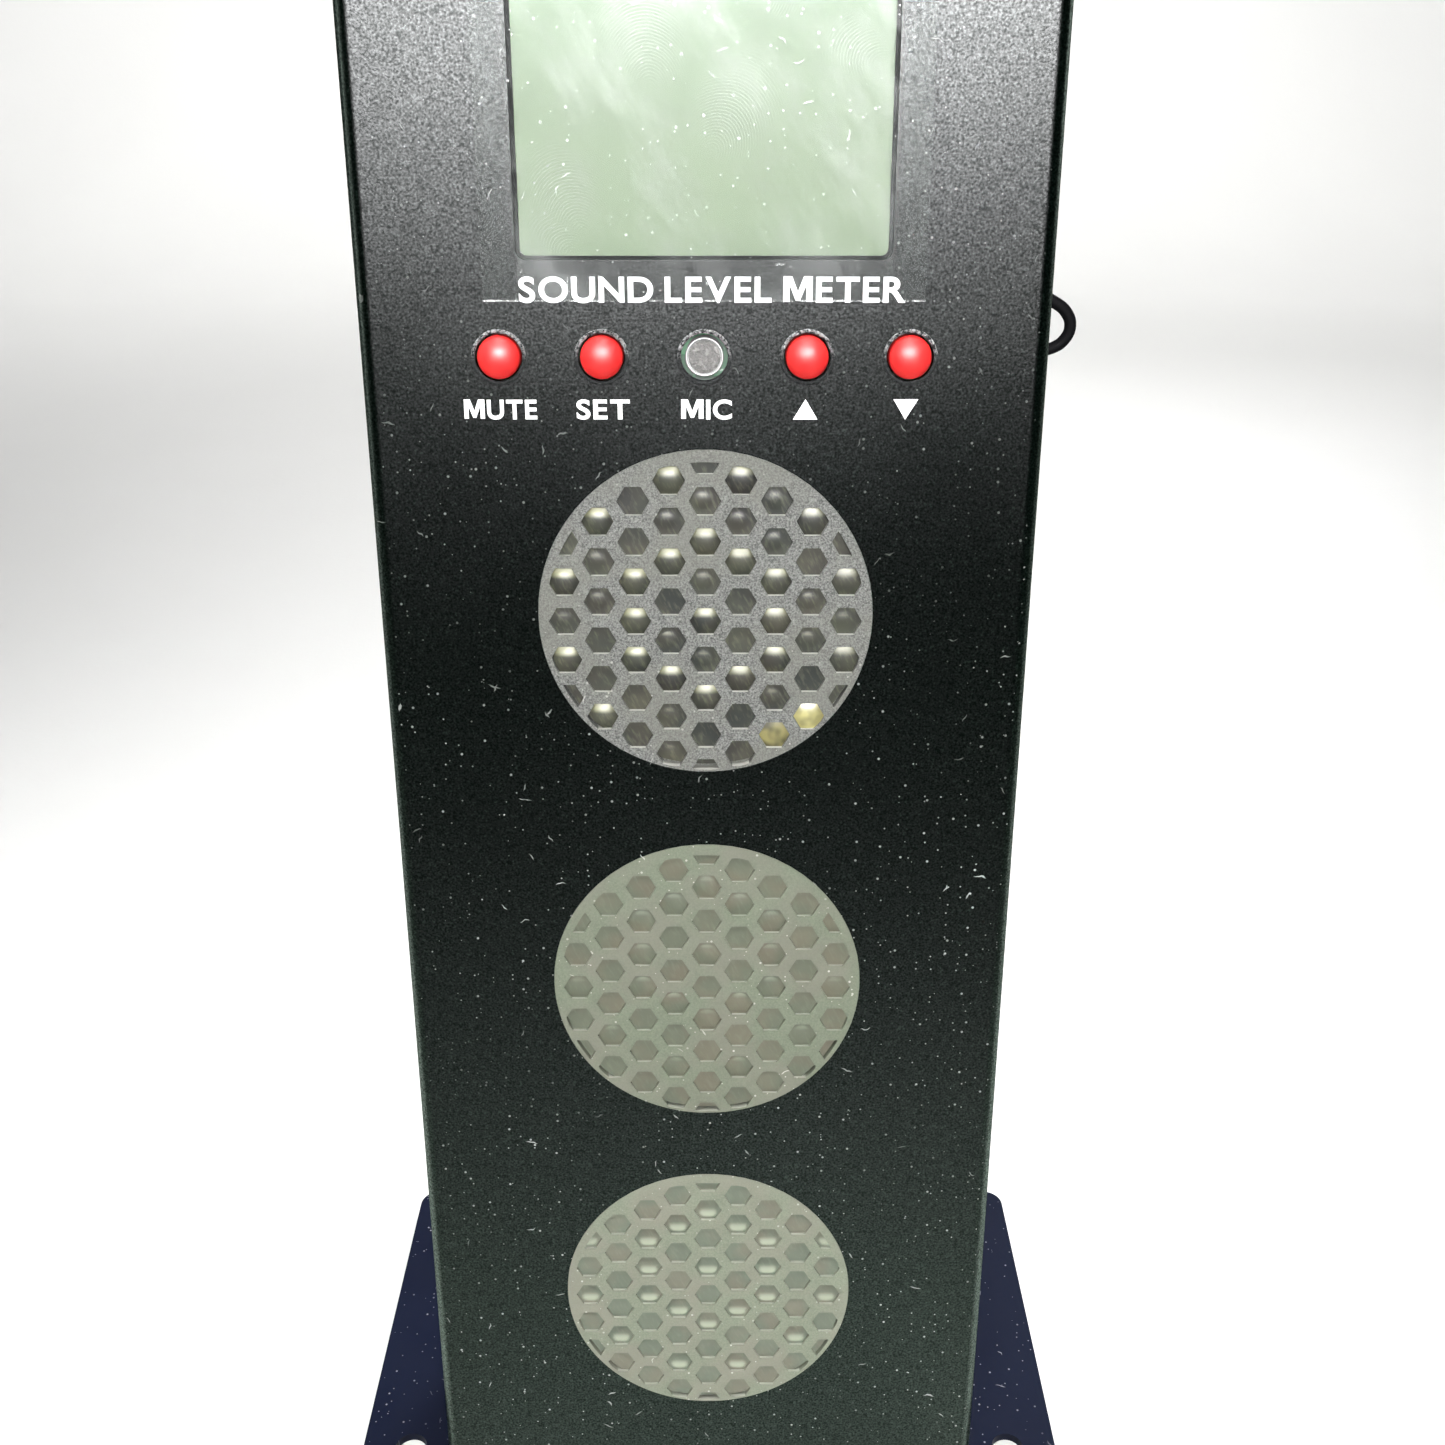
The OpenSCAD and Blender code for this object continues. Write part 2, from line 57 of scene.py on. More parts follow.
MM = 0.001
LEAN = math.radians(7)
FACE_Y = -41.5
FOOT_T = 2
WINDOWS = {"upper": 185, "middle": 117.6, "lower": 50.2}
CELL_PITCH = 6.55
GRID_DROP = 0.8
ROW_W = 226
BUTTON_PITCH = 15.65
BUTTON_R = 3.25
BUTTON_HOLE_R = 3.6
BUTTONS = {"mute": -2, "setting": -1, "up": 1, "down": 2}
SCREEN_W = 56.2
SCREEN_H = 60
SCREEN_LOW = 240.2
FILM_W = 66.4
FILM_LOW = 234.2
FILM_H = 69
LEAD_D = 2.2
CAMERA_U, CAMERA_V, CAMERA_W = 2.75, -236.2, 254.3
CAMERA_PITCH = math.radians(20.33)


def at(u, v, w):
    """A point of the case's frame in millimetres, as a point of the model's frame in metres."""
    return Vector((
        u,
        FACE_Y + v * math.cos(LEAN) + w * math.sin(LEAN),
        FOOT_T - v * math.sin(LEAN) + w * math.cos(LEAN),
    )) * MM


CASE_TURN = Matrix.Rotation(-LEAN, 4, "X")

# ---------- Camera ----------


def make_camera():
    data = bpy.data.cameras.new("camera")
    data.sensor_width = 36
    data.lens = 37.9
    data.clip_start = 0.01
    camera = bpy.data.objects.new("camera", data)
    camera.location = at(CAMERA_U, CAMERA_V, CAMERA_W)
    camera.rotation_euler = (math.pi / 2 - CAMERA_PITCH - LEAN, 0, 0)
    scene.collection.objects.link(camera)
    scene.camera = camera


make_camera()

# ---------- Power lead ----------

ROUTE = [(33.5, 35.3, 237.5), (38, 35.2, 235.5), (43.5, 35, 233), (49, 34.8, 230.6),
         (54.5, 34.5, 228.1), (59, 34.2, 226.2), (62.5, 34, 224.6), (65, 34, 222.7),
         (66, 34, 220.2), (65.2, 34, 217.8), (63, 34, 216.2), (60, 34, 215.8), (54, 34, 216),
         (47, 34, 215.6), (41, 34, 214), (36, 34, 210.6), (32.5, 34, 205.5), (30.5, 34, 199),
         (29, 34, 186), (27, 34, 165), (25, 35, 140), (23, 36, 115), (21, 37, 90),
         (20, 39, 65), (18, 42, 44), (16, 45, 28), (13, 48, 15), (9, 49.5, 7), (4, 49, 3),
         (-3, 47.6, 1.9), (-9, 46.5, 1.7)]
TAIL = [(-12, 77.8, 3.9), (-8, 77.8, 4), (-3, 77.8, 4), (3, 77.8, 4)]
COIL_CENTRE = (-14, 62)
COIL_OUTER = 15.8
COIL_LOW = 1.7
COIL_TURNS = 7.5
TURNS_A_LAYER = 4
POINTS_A_TURN = 16


def smooth(t):
    t = min(max(t, 0), 1)
    return t * t * (3 - 2 * t)


def coil_points():
    """Two layers of turns side by side: inwards on the floor, then outwards on top."""
    points = []
    for i in range(int(COIL_TURNS * POINTS_A_TURN)):
        turn, part = divmod(i / POINTS_A_TURN, 1)
        step = smooth((part - 0.6) / 0.3)
        if turn < TURNS_A_LAYER:
            last = turn == TURNS_A_LAYER - 1
            inwards = turn if last else turn + step
            lift = smooth((part - 0.3) / 0.25) if last else 0
        else:
            inwards = 2 * TURNS_A_LAYER - 1 - turn - step
            lift = 1
        radius = COIL_OUTER - inwards * LEAD_D
        angle = -math.pi / 2 - 2 * math.pi * part
        points.append((
            COIL_CENTRE[0] + radius * math.cos(angle),
            COIL_CENTRE[1] + radius * math.sin(angle),
            COIL_LOW + lift * LEAD_D,
        ))
    return points


def make_lead():
    """The lead as one smooth tube, with the points of its centreline."""
    points = ROUTE + coil_points() + [(COIL_CENTRE[0], TAIL[0][1], TAIL[0][2])] + TAIL[1:]
    data = bpy.data.curves.new("power_cable", "CURVE")
    data.dimensions = "3D"
    data.resolution_u = 5
    spline = data.splines.new("BEZIER")
    spline.bezier_points.add(len(points) - 1)
    for knot, point in zip(spline.bezier_points, points):
        knot.co = Vector(point) * MM
        knot.handle_left_type = "AUTO"
        knot.handle_right_type = "AUTO"
    carrier = bpy.data.objects.new("power_cable", data)
    scene.collection.objects.link(carrier)

    def as_mesh():
        bpy.context.view_layer.update()
        depsgraph = bpy.context.evaluated_depsgraph_get()
        return bpy.data.meshes.new_from_object(carrier.evaluated_get(depsgraph))

    line = [vert.co.copy() for vert in as_mesh().vertices]
    data.bevel_depth = LEAD_D / 2 * MM
    data.bevel_resolution = 4
    data.use_fill_caps = True
    tube = as_mesh()
    tube.name = "power_cable"
    bpy.data.objects.remove(carrier)
    bm = bmesh.new()
    bm.from_mesh(tube)
    bmesh.ops.remove_doubles(bm, verts=bm.verts, dist=0.001 * MM)
    bm.to_mesh(tube)
    bm.free()
    tube.shade_smooth()
    tube.materials.clear()
    lead = bpy.data.objects.new("power_cable", tube)
    scene.collection.objects.link(lead)
    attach(lead, "case")
    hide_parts("power_lead", "lead_coil", "lead_tail")
    return lead, line


cable, cable_line = make_lead()

# ---------- Building materials out of shader nodes ----------


class Finish:
    """A procedural material in the making. Sizes are in millimetres on the object itself."""

    def __init__(self, name, **inputs):
        self.material = bpy.data.materials.new(name)
        self.material.use_nodes = True
        self.tree = self.material.node_tree
        self.shader = self.tree.nodes["Principled BSDF"]
        self.place = self.add("ShaderNodeTexCoord").outputs["Object"]
        for key, value in inputs.items():
            self.feed(self.shader, key.replace("_", " "), value)

    def add(self, kind, **settings):
        node = self.tree.nodes.new(kind)
        for key, value in settings.items():
            setattr(node, key, value)
        return node

    def feed(self, node, key, value):
        if isinstance(value, bpy.types.NodeSocket):
            self.tree.links.new(value, node.inputs[key])
        else:
            node.inputs[key].default_value = value

    def noise(self, size, detail=2, place=None, rough=0.5):
        """A cloudy pattern from 0 to 1 whose blots are about size across."""
        node = self.add("ShaderNodeTexNoise")
        self.feed(node, "Vector", place or self.place)
        self.feed(node, "Scale", 1 / (size * MM))
        self.feed(node, "Detail", detail)
        self.feed(node, "Roughness", rough)
        return node.outputs["Fac"]

    def cells(self, size, place=None, **settings):
        """Scattered points about size apart: the node, with Distance and Color outputs."""
        node = self.add("ShaderNodeTexVoronoi", **settings)
        self.feed(node, "Vector", place or self.place)
        self.feed(node, "Scale", 1 / (size * MM))
        return node

    def luck(self, cells):
        """A random number from 0 to 1 for each cell."""
        split = self.add("ShaderNodeSeparateColor")
        self.feed(split, 0, cells.outputs["Color"])
        return split.outputs[0]

    def span(self, value, low, high, to_low=0, to_high=1, smooth_ends=False):
        """Maps low..high onto to_low..to_high and holds it there beyond."""
        node = self.add("ShaderNodeMapRange")
        if smooth_ends:
            node.interpolation_type = "SMOOTHSTEP"
        for key, number in (("Value", value), ("From Min", low), ("From Max", high),
                            ("To Min", to_low), ("To Max", to_high)):
            self.feed(node, key, number)
        return node.outputs["Result"]

    def math(self, operation, a, b=0.0):
        node = self.add("ShaderNodeMath", operation=operation)
        self.feed(node, 0, a)
        self.feed(node, 1, b)
        return node.outputs[0]

    def blend(self, share, a, b):
        """Colour a where share is 0, colour b where it is 1."""
        node = self.add("ShaderNodeMix", data_type="RGBA")
        self.feed(node, 0, share)
        self.feed(node, 6, a)
        self.feed(node, 7, b)
        return node.outputs[2]

    def axis(self, letter):
        node = self.add("ShaderNodeSeparateXYZ")
        self.feed(node, 0, self.place)
        return node.outputs[letter]

    def turned(self, angles, stretch=(1, 1, 1), place=None):
        """The object's coordinates, turned by angles in degrees and then stretched."""
        turn = self.add("ShaderNodeMapping")
        self.feed(turn, "Vector", place or self.place)
        self.feed(turn, "Rotation", [math.radians(a) for a in angles])
        pull = self.add("ShaderNodeMapping")
        self.feed(pull, "Vector", turn.outputs[0])
        self.feed(pull, "Scale", stretch)
        return pull.outputs[0]

    def from_point(self, point):
        """The object's coordinates counted from a point in metres."""
        node = self.add("ShaderNodeVectorMath", operation="SUBTRACT")
        self.feed(node, 0, self.place)
        self.feed(node, 1, point)
        return node.outputs[0]

    def facing_up(self):
        """How far the surface faces up: -1 to 1."""
        node = self.add("ShaderNodeSeparateXYZ")
        self.feed(node, 0, self.add("ShaderNodeTexCoord").outputs["Normal"])
        return node.outputs["Z"]

    def bump(self, height, depth, strength=1.0):
        """Raises the surface by up to depth where height is 1, on top of earlier bumps."""
        node = self.add("ShaderNodeBump")
        before = self.shader.inputs["Normal"].links
        if before:
            self.feed(node, "Normal", before[0].from_socket)
        self.feed(node, "Height", height)
        self.feed(node, "Distance", depth * MM)
        self.feed(node, "Strength", strength)
        self.feed(self.shader, "Normal", node.outputs[0])

    def glaze(self, share, roughness, colour):
        """Adds a satin reflection over the paint, as strong as share."""
        gloss = self.add("ShaderNodeBsdfAnisotropic", distribution="BECKMANN")
        self.feed(gloss, "Color", colour)
        self.feed(gloss, "Roughness", roughness)
        self.feed(gloss, "Normal", self.shader.inputs["Normal"].links[0].from_socket)
        mix = self.add("ShaderNodeMixShader")
        self.feed(mix, 0, share)
        self.feed(mix, 1, self.shader.outputs[0])
        self.feed(mix, 2, gloss.outputs[0])
        self.feed(self.tree.nodes["Material Output"], 0, mix.outputs[0])
        return self.material

    def paint(self, **inputs):
        for key, value in inputs.items():
            self.feed(self.shader, key.replace("_", " "), value)
        return self.material


def rgb(red, green, blue):
    return (red, green, blue, 1)


def dust(finish, plane="XZ", most=1.0, low=0.14, high=0.24):
    """Specks and short curled lint on the faces along a plane: a share from 0 to 1.
    On an upright plane there is less of it above the height high, in metres."""
    split = finish.add("ShaderNodeSeparateXYZ")
    finish.feed(split, 0, finish.place)
    flat = finish.add("ShaderNodeCombineXYZ")
    finish.feed(flat, 0, split.outputs[plane[0]])
    finish.feed(flat, 1, split.outputs[plane[1]])
    flat = flat.outputs[0]
    curl = finish.span(finish.noise(1.7, 1), 0.2, 0.8, -0.0005, 0.0005)
    total = None
    for size, angle, stretch, radius, share in DUST_LAYERS:
        place = flat
        if stretch < 1:
            pushed = finish.add("ShaderNodeVectorMath", operation="ADD")
            finish.feed(pushed, 0, finish.turned((0, 0, angle), place=flat))
            push = finish.add("ShaderNodeCombineXYZ")
            finish.feed(push, 0, curl)
            finish.feed(pushed, 1, push.outputs[0])
            place = finish.turned((0, 0, 0), (1, stretch, 1), pushed.outputs[0])
        cells = finish.cells(size, place, voronoi_dimensions="2D")
        near = finish.span(cells.outputs["Distance"], radius * 0.6, radius, 1, 0)
        chosen = finish.math("LESS_THAN", finish.luck(cells), share)
        mark = finish.math("MULTIPLY", near, chosen)
        total = mark if total is None else finish.math("MAXIMUM", total, mark)
    clumps = finish.span(finish.noise(22), 0.38, 0.6, 0.25, 1)
    total = finish.math("MULTIPLY", total, clumps)
    if plane == "XZ":
        fade = finish.span(split.outputs["Z"], low, high, most, most * 0.2)
        total = finish.math("MULTIPLY", total, fade)
        normal = finish.add("ShaderNodeSeparateXYZ")
        finish.feed(normal, 0, finish.add("ShaderNodeTexCoord").outputs["Normal"])
        facing = finish.math("GREATER_THAN", finish.math("ABSOLUTE", normal.outputs["Y"]), 0.7)
        total = finish.math("MULTIPLY", total, facing)
    return total


# Each layer of dust: the distance between marks in millimetres, the angle they lie at, how
# far they are drawn out, their radius as a share of the distance, and the share that shows
DUST_LAYERS = ((2.3, 0, 1, 0.07, 0.22), (4.1, 0, 1, 0.06, 0.3), (1.3, 0, 1, 0.08, 0.06),
               (4.6, 20, 0.16, 0.028, 0.2), (5.2, 75, 0.14, 0.026, 0.22),
               (4.9, -40, 0.18, 0.028, 0.22), (6.1, -75, 0.12, 0.024, 0.2))


# ---------- Materials ----------


def powder_coat():
    """Black powder paint with dust and lint: its grain sparkles, stronger at a slant, and the green
    tint of that sparkle at a slant is a painted reflection.
    """
    finish = Finish("black_powder_coat", Specular_IOR_Level=0.0, Roughness=0.6)
    grain = finish.noise(0.36, 2)
    patches = finish.noise(60)
    base = finish.blend(patches, rgb(0.0004, 0.0013, 0.0009), rgb(0.0006, 0.0018, 0.0012))
    flecks = finish.span(grain, 0.62, 0.72)
    base = finish.blend(flecks, base, rgb(0.006, 0.012, 0.0085))
    marks = dust(finish)
    finish.bump(grain, 0.012)
    finish.bump(finish.noise(0.18, 1), 0.005)
    finish.paint(Base_Color=finish.blend(marks, base, rgb(0.34, 0.36, 0.34)))
    gleam = finish.span(grain, 0.34, 0.68, 0.0048, 0.0185)
    tilt = finish.add("ShaderNodeLayerWeight").outputs["Facing"]
    gleam = finish.math("MULTIPLY", gleam, finish.span(tilt, 0.1, 0.3, 1, 2.3))
    gleam = finish.math("MULTIPLY", gleam, finish.span(tilt, 0.33, 0.5, 1, 4))
    # Painted reflection: the gloss turns green at a slant, standing for the green cast the lower face
    # shows; the paint itself is not green.
    tint = finish.blend(finish.span(tilt, 0.05, 0.25), rgb(0.98, 0.99, 1), rgb(0.79, 1, 0.86))
    share = finish.math("MULTIPLY", gleam, finish.span(marks, 0, 1, 1, 0))
    return finish.glaze(share, finish.span(patches, 0.3, 0.7, 0.325, 0.355), tint)


def rim_wear_and_painted_highlight():
    """Paint rubbed to a mottled pale grey on the bead round each button's hole; it is pale only along
    the upper half, as a painted highlight of light from above.
    """
    finish = Finish("hole_rims_wear_and_highlight", Roughness=0.7, Specular_IOR_Level=0.06)
    wear = finish.span(finish.noise(0.5, 3, rough=0.7), 0.42, 0.62)
    # Painted highlight: the pale wear is kept to the upper half of each rim, where light from above
    # falls; the lower half stays dark.
    above = finish.span(finish.axis("Z"), at(0, 0, ROW_W - 0.5).z, at(0, 0, ROW_W + 2).z, 0.04, 1)
    share = finish.math("MULTIPLY", wear, above)
    finish.bump(wear, 0.05)
    return finish.paint(Base_Color=finish.blend(share, rgb(0.012, 0.014, 0.014),
                                                rgb(0.32, 0.315, 0.32)))


def navy_coat():
    """Smooth dark blue paint with a slight orange peel."""
    finish = Finish("navy_foot_coat", Specular_IOR_Level=0.04)
    cloud = finish.noise(25)
    base = finish.blend(cloud, rgb(0.0035, 0.0048, 0.012), rgb(0.005, 0.007, 0.017))
    marks = dust(finish, "XY", 0.5)
    base = finish.blend(marks, base, rgb(0.2, 0.2, 0.23))
    finish.bump(finish.noise(1.4), 0.02)
    finish.bump(finish.noise(0.25), 0.008)
    rough = finish.span(finish.noise(8), 0.3, 0.7, 0.36, 0.5)
    return finish.paint(Base_Color=base, Roughness=rough)


def net_plastic(name, dark, light, tint, ledge=0.2, grain_size=0.36):
    """Matt moulded plastic with a sandy grain, faint patches of another tint and pale dust, and a
    pale painted highlight, as strong as ledge says, where the net's cells face up to the light."""
    finish = Finish(name, Specular_IOR_Level=0.12)
    grain = finish.noise(grain_size, 3, rough=0.7)
    base = finish.blend(finish.span(grain, 0.36, 0.64), dark, light)
    patches = finish.span(finish.noise(11), 0.42, 0.62)
    base = finish.blend(finish.math("MULTIPLY", patches, 0.55), base, tint)
    marks = dust(finish, most=0.5)
    # Painted highlight: the up-facing ledges of the cells are made pale for the light that falls on
    # them from above, blended with the real dust marks.
    lit_ledge_paint = finish.span(finish.facing_up(), 0.7, 0.9, 0, ledge)
    base = finish.blend(finish.math("MAXIMUM", marks, lit_ledge_paint), base, rgb(0.6, 0.6, 0.54))
    finish.bump(grain, 0.04)
    finish.bump(finish.noise(0.2), 0.02)
    return finish.paint(Base_Color=base, Roughness=finish.span(grain, 0.2, 0.8, 0.5, 0.72))


def epoxy():
    """Slightly milky LED epoxy."""
    finish = Finish("led_epoxy", IOR=1.5, Transmission_Weight=0.35, Specular_IOR_Level=0.6)
    cloud = finish.noise(1.2)
    base = finish.blend(cloud, rgb(0.62, 0.64, 0.56), rgb(0.74, 0.76, 0.68))
    finish.bump(finish.noise(0.5), 0.01)
    return finish.paint(Base_Color=base, Roughness=finish.span(cloud, 0, 1, 0.12, 0.22))


def glowing_lens(name, colour, weak, strong):
    """A lens that glows unevenly, lit by the lamp behind it; where no lamp stands behind it, the glow
    is painted light.
    """
    finish = Finish(name, Roughness=0.3)
    cloud = finish.noise(2.2, 1)
    finish.paint(Emission_Color=colour,
                 Emission_Strength=finish.span(cloud, 0.35, 0.65, weak, strong))
    return finish.paint(Base_Color=finish.blend(cloud, rgb(0.05, 0.045, 0.015), rgb(0.1, 0.09, 0.03)))


def lens_sheet_plastic(name, plain, lit, low, high, shine):
    """A moulded lens sheet: its domes and hollows are painted in the lit colour as they turn up,
    from the slope low to the slope high, a painted highlight of light from above."""
    finish = Finish(name, Specular_IOR_Level=shine)
    cloud = finish.noise(9, 2)
    streaks = finish.noise(0.5, 3, finish.turned((0, 25, 0), (1, 1, 0.25)))
    warm = rgb(plain[0] * 1.2, plain[1] * 1.02, plain[2] * 1.02)
    tinted = finish.blend(finish.span(finish.noise(8), 0.42, 0.6), plain, warm)
    base = finish.blend(finish.span(cloud, 0.35, 0.65, 0, 0.08), tinted, lit)
    base = finish.blend(finish.span(streaks, 0.5, 0.75, 0, 0.1), base, lit)
    # Painted highlight: slopes that face up take the lit colour, standing for the light from above on
    # the domes and hollows.
    painted_uplight = finish.span(finish.facing_up(), low, high, smooth_ends=True)
    base = finish.blend(painted_uplight, base, lit)
    finish.bump(streaks, 0.004)
    return finish.paint(Base_Color=base, Roughness=finish.span(streaks, 0.3, 0.7, 0.3, 0.4))


def lcd_face():
    """The green-grey display, painted lighter towards the top as a painted highlight of the glare on
    it, with a faint glow of its own colour.
    """
    finish = Finish("lcd_face", Specular_IOR_Level=0.1)
    height = finish.axis("Z")
    cloud = finish.noise(24, 2)
    low = finish.blend(cloud, rgb(0.18, 0.232, 0.15), rgb(0.20, 0.252, 0.168))
    high = finish.blend(cloud, rgb(0.235, 0.315, 0.22), rgb(0.285, 0.38, 0.265))
    # Painted highlight: the upper part of the display is lighter, standing for the glare of the light
    # from above the camera.
    share = finish.span(height, 0.248, 0.300, smooth_ends=True)
    base = finish.blend(share, low, high)
    finish.bump(finish.noise(3), 0.004)
    finish.paint(Emission_Color=base, Emission_Strength=0.05)
    return finish.paint(Base_Color=base, Roughness=0.42)


# The prints of fingers on the film: their place across and up the face in millimetres, the
# turn of the finger in degrees, and the half length of the mark
FINGER_PRINTS = ((-20.8, 250, 25, 6.5), (5, 262, -30, 7.5), (21.7, 269, 60, 5), (-23.2, 244, 50, 5),
                 (-9, 272, 10, 8), (13, 279, -60, 7))


def finger_print(finish, u, w, turn, half_length):
    """Curved skin ridges that fade out towards the edge of an oval."""
    local = finish.turned((0, turn, 0), (1, 1, 0.75), finish.from_point(at(u, 0, w)))
    lowered = finish.add("ShaderNodeVectorMath", operation="ADD")
    finish.feed(lowered, 0, local)
    finish.feed(lowered, 1, Vector((0, 0, half_length * 0.8)) * MM)
    rings = finish.add("ShaderNodeTexWave", wave_type="RINGS", rings_direction="Y")
    for key, value in (("Vector", lowered.outputs[0]), ("Scale", 1 / (1.1 * MM)),
                       ("Distortion", 2.4), ("Detail", 1), ("Detail Scale", 0.25)):
        finish.feed(rings, key, value)
    length = finish.add("ShaderNodeVectorMath", operation="LENGTH")
    finish.feed(length, 0, local)
    oval = finish.span(length.outputs["Value"], half_length * 0.35 * MM, half_length * MM, 1, 0)
    return finish.math("MULTIPLY", finish.span(rings.outputs["Fac"], 0.6, 0.85), oval)


def film_plastic():
    """Clear protective film with fingerprints, smears and specks that catch the light."""
    finish = Finish("clear_film")
    tree = finish.tree
    smears = finish.span(finish.noise(9, 6, finish.turned((0, 30, 0), (1, 1, 0.4)), 0.7),
                         0.46, 0.8)
    haze = finish.math("MULTIPLY", smears, 0.3)
    for u, w, turn, half_length in FINGER_PRINTS:
        mark = finish.math("MULTIPLY", finger_print(finish, u, w, turn, half_length), 0.2)
        haze = finish.math("MAXIMUM", haze, mark)
    haze = finish.math("MAXIMUM", haze, dust(finish, high=0.9, low=0.8))
    aside = finish.math("ABSOLUTE", finish.axis("X"))
    over_screen = finish.span(aside, (SCREEN_W / 2 - 0.3) * MM, (SCREEN_W / 2 + 0.3) * MM, 1, 0.04)
    haze = finish.math("MULTIPLY", haze, over_screen)
    lower_edge = finish.span(finish.axis("Z"), at(0, 0, FILM_LOW + 0.12).z,
                             at(0, 0, FILM_LOW + 0.35).z, 1, 0)
    broken = finish.span(finish.noise(3, 3, rough=0.8), 0.42, 0.6)
    haze = finish.math("MAXIMUM", haze, finish.math("MULTIPLY", lower_edge, broken))
    clear = finish.add("ShaderNodeBsdfTransparent")
    finish.feed(clear, 0, rgb(0.985, 0.99, 0.985))
    mix = finish.add("ShaderNodeMixShader")
    edge_on = finish.add("ShaderNodeLayerWeight")
    gloss = finish.span(edge_on.outputs["Facing"], 0.4, 1.0, 0.008, 0.3, smooth_ends=True)
    share = finish.math("ADD", gloss, finish.math("MULTIPLY", haze, 0.3))
    finish.feed(mix, 0, share)
    tree.links.new(clear.outputs[0], mix.inputs[1])
    tree.links.new(finish.shader.outputs[0], mix.inputs[2])
    tree.links.new(mix.outputs[0], tree.nodes["Material Output"].inputs[0])
    finish.bump(finish.noise(12), 0.05)
    return finish.paint(Base_Color=rgb(0.8, 0.83, 0.82), Specular_IOR_Level=0.8,
                        Roughness=finish.span(haze, 0, 1, 0.22, 0.5))


def red_plastic():
    """Glossy red button plastic with light wear."""
    finish = Finish("red_button_plastic", Subsurface_Weight=0.15, Subsurface_Scale=0.0006,
                    Coat_Weight=0.05, Coat_Roughness=0.4, Specular_IOR_Level=0.22)
    cloud = finish.noise(2.5, 3)
    base = finish.blend(cloud, rgb(0.62, 0.010, 0.012), rgb(0.78, 0.022, 0.018))
    finish.bump(finish.noise(0.5, 2), 0.008)
    return finish.paint(Base_Color=base, Roughness=finish.span(cloud, 0.3, 0.7, 0.4, 0.5))


def metal(name, dark, light, rough=0.3, brush=(1, 1, 1)):
    """Bare metal with fine marks; brush stretches them."""
    finish = Finish(name, Metallic=1.0)
    marks = finish.noise(0.5, 3, finish.turned((0, 0, 0), brush))
    cloud = finish.noise(4)
    base = finish.blend(cloud, dark, light)
    finish.bump(marks, 0.012)
    return finish.paint(Base_Color=base, Roughness=finish.span(marks, 0.3, 0.7, rough, rough + 0.15))


def felt():
    """Grey felt of short fibres with a few hardened blobs."""
    finish = Finish("microphone_felt", Sheen_Weight=0.4, Roughness=0.8)
    fibres = finish.noise(0.22, 4, rough=0.7)
    blobs = finish.span(finish.noise(0.9), 0.5, 0.62)
    base = finish.blend(finish.span(fibres, 0.3, 0.7), rgb(0.04, 0.04, 0.036), rgb(0.14, 0.13, 0.122))
    base = finish.blend(finish.math("MULTIPLY", blobs, 0.6), base, rgb(0.22, 0.21, 0.2))
    finish.bump(fibres, 0.12)
    finish.bump(blobs, 0.1)
    return finish.paint(Base_Color=base)


def board():
    """Green solder mask over copper tracks."""
    finish = Finish("green_board", Coat_Weight=0.4, Coat_Roughness=0.2, Roughness=0.4)
    tracks = finish.cells(3.2, distance="CHEBYCHEV", feature="F1")
    lines = finish.span(tracks.outputs["Distance"], 0.42, 0.5)
    cloud = finish.noise(9)
    base = finish.blend(cloud, rgb(0.008, 0.10, 0.035), rgb(0.012, 0.15, 0.05))
    base = finish.blend(lines, base, rgb(0.03, 0.24, 0.08))
    finish.bump(lines, 0.03)
    return finish.paint(Base_Color=base)


def dark_board():
    """Black solder mask with faint tracks, as on boards behind lamps."""
    finish = Finish("black_board", Roughness=0.5)
    tracks = finish.cells(3.2, distance="CHEBYCHEV", feature="F1")
    lines = finish.span(tracks.outputs["Distance"], 0.42, 0.5)
    base = finish.blend(lines, rgb(0.05, 0.052, 0.048), rgb(0.075, 0.078, 0.07))
    finish.bump(lines, 0.03)
    return finish.paint(Base_Color=base)


def moulded(name, dark, light, rough=0.45, grain=0.3, depth=0.02, shine=0.25):
    """Moulded plastic or rubber with a fine grain."""
    finish = Finish(name, Specular_IOR_Level=shine)
    cloud = finish.noise(6, 3)
    fine = finish.noise(grain, 2)
    base = finish.blend(cloud, dark, light)
    finish.bump(fine, depth)
    return finish.paint(Base_Color=base, Roughness=finish.span(cloud, 0.3, 0.7, rough, rough + 0.15))


def ribbon_plastic():
    """Grey ribbon cable: parallel wires side by side."""
    finish = Finish("grey_ribbon", Roughness=0.5)
    wires = finish.add("ShaderNodeTexWave", wave_type="BANDS", bands_direction="X")
    finish.feed(wires, "Vector", finish.place)
    finish.feed(wires, "Scale", 1 / (8 * MM))
    base = finish.blend(wires.outputs["Fac"], rgb(0.2, 0.21, 0.22), rgb(0.42, 0.43, 0.44))
    finish.bump(wires.outputs["Fac"], 0.3)
    return finish.paint(Base_Color=base)


def white_paint():
    """Screen-printed white paint over the grain of the case."""
    finish = Finish("white_print", Roughness=0.5)
    grain = finish.noise(0.4, 2)
    base = finish.blend(grain, rgb(0.78, 0.78, 0.77), rgb(0.95, 0.95, 0.94))
    finish.bump(grain, 0.05)
    return finish.paint(Base_Color=base)


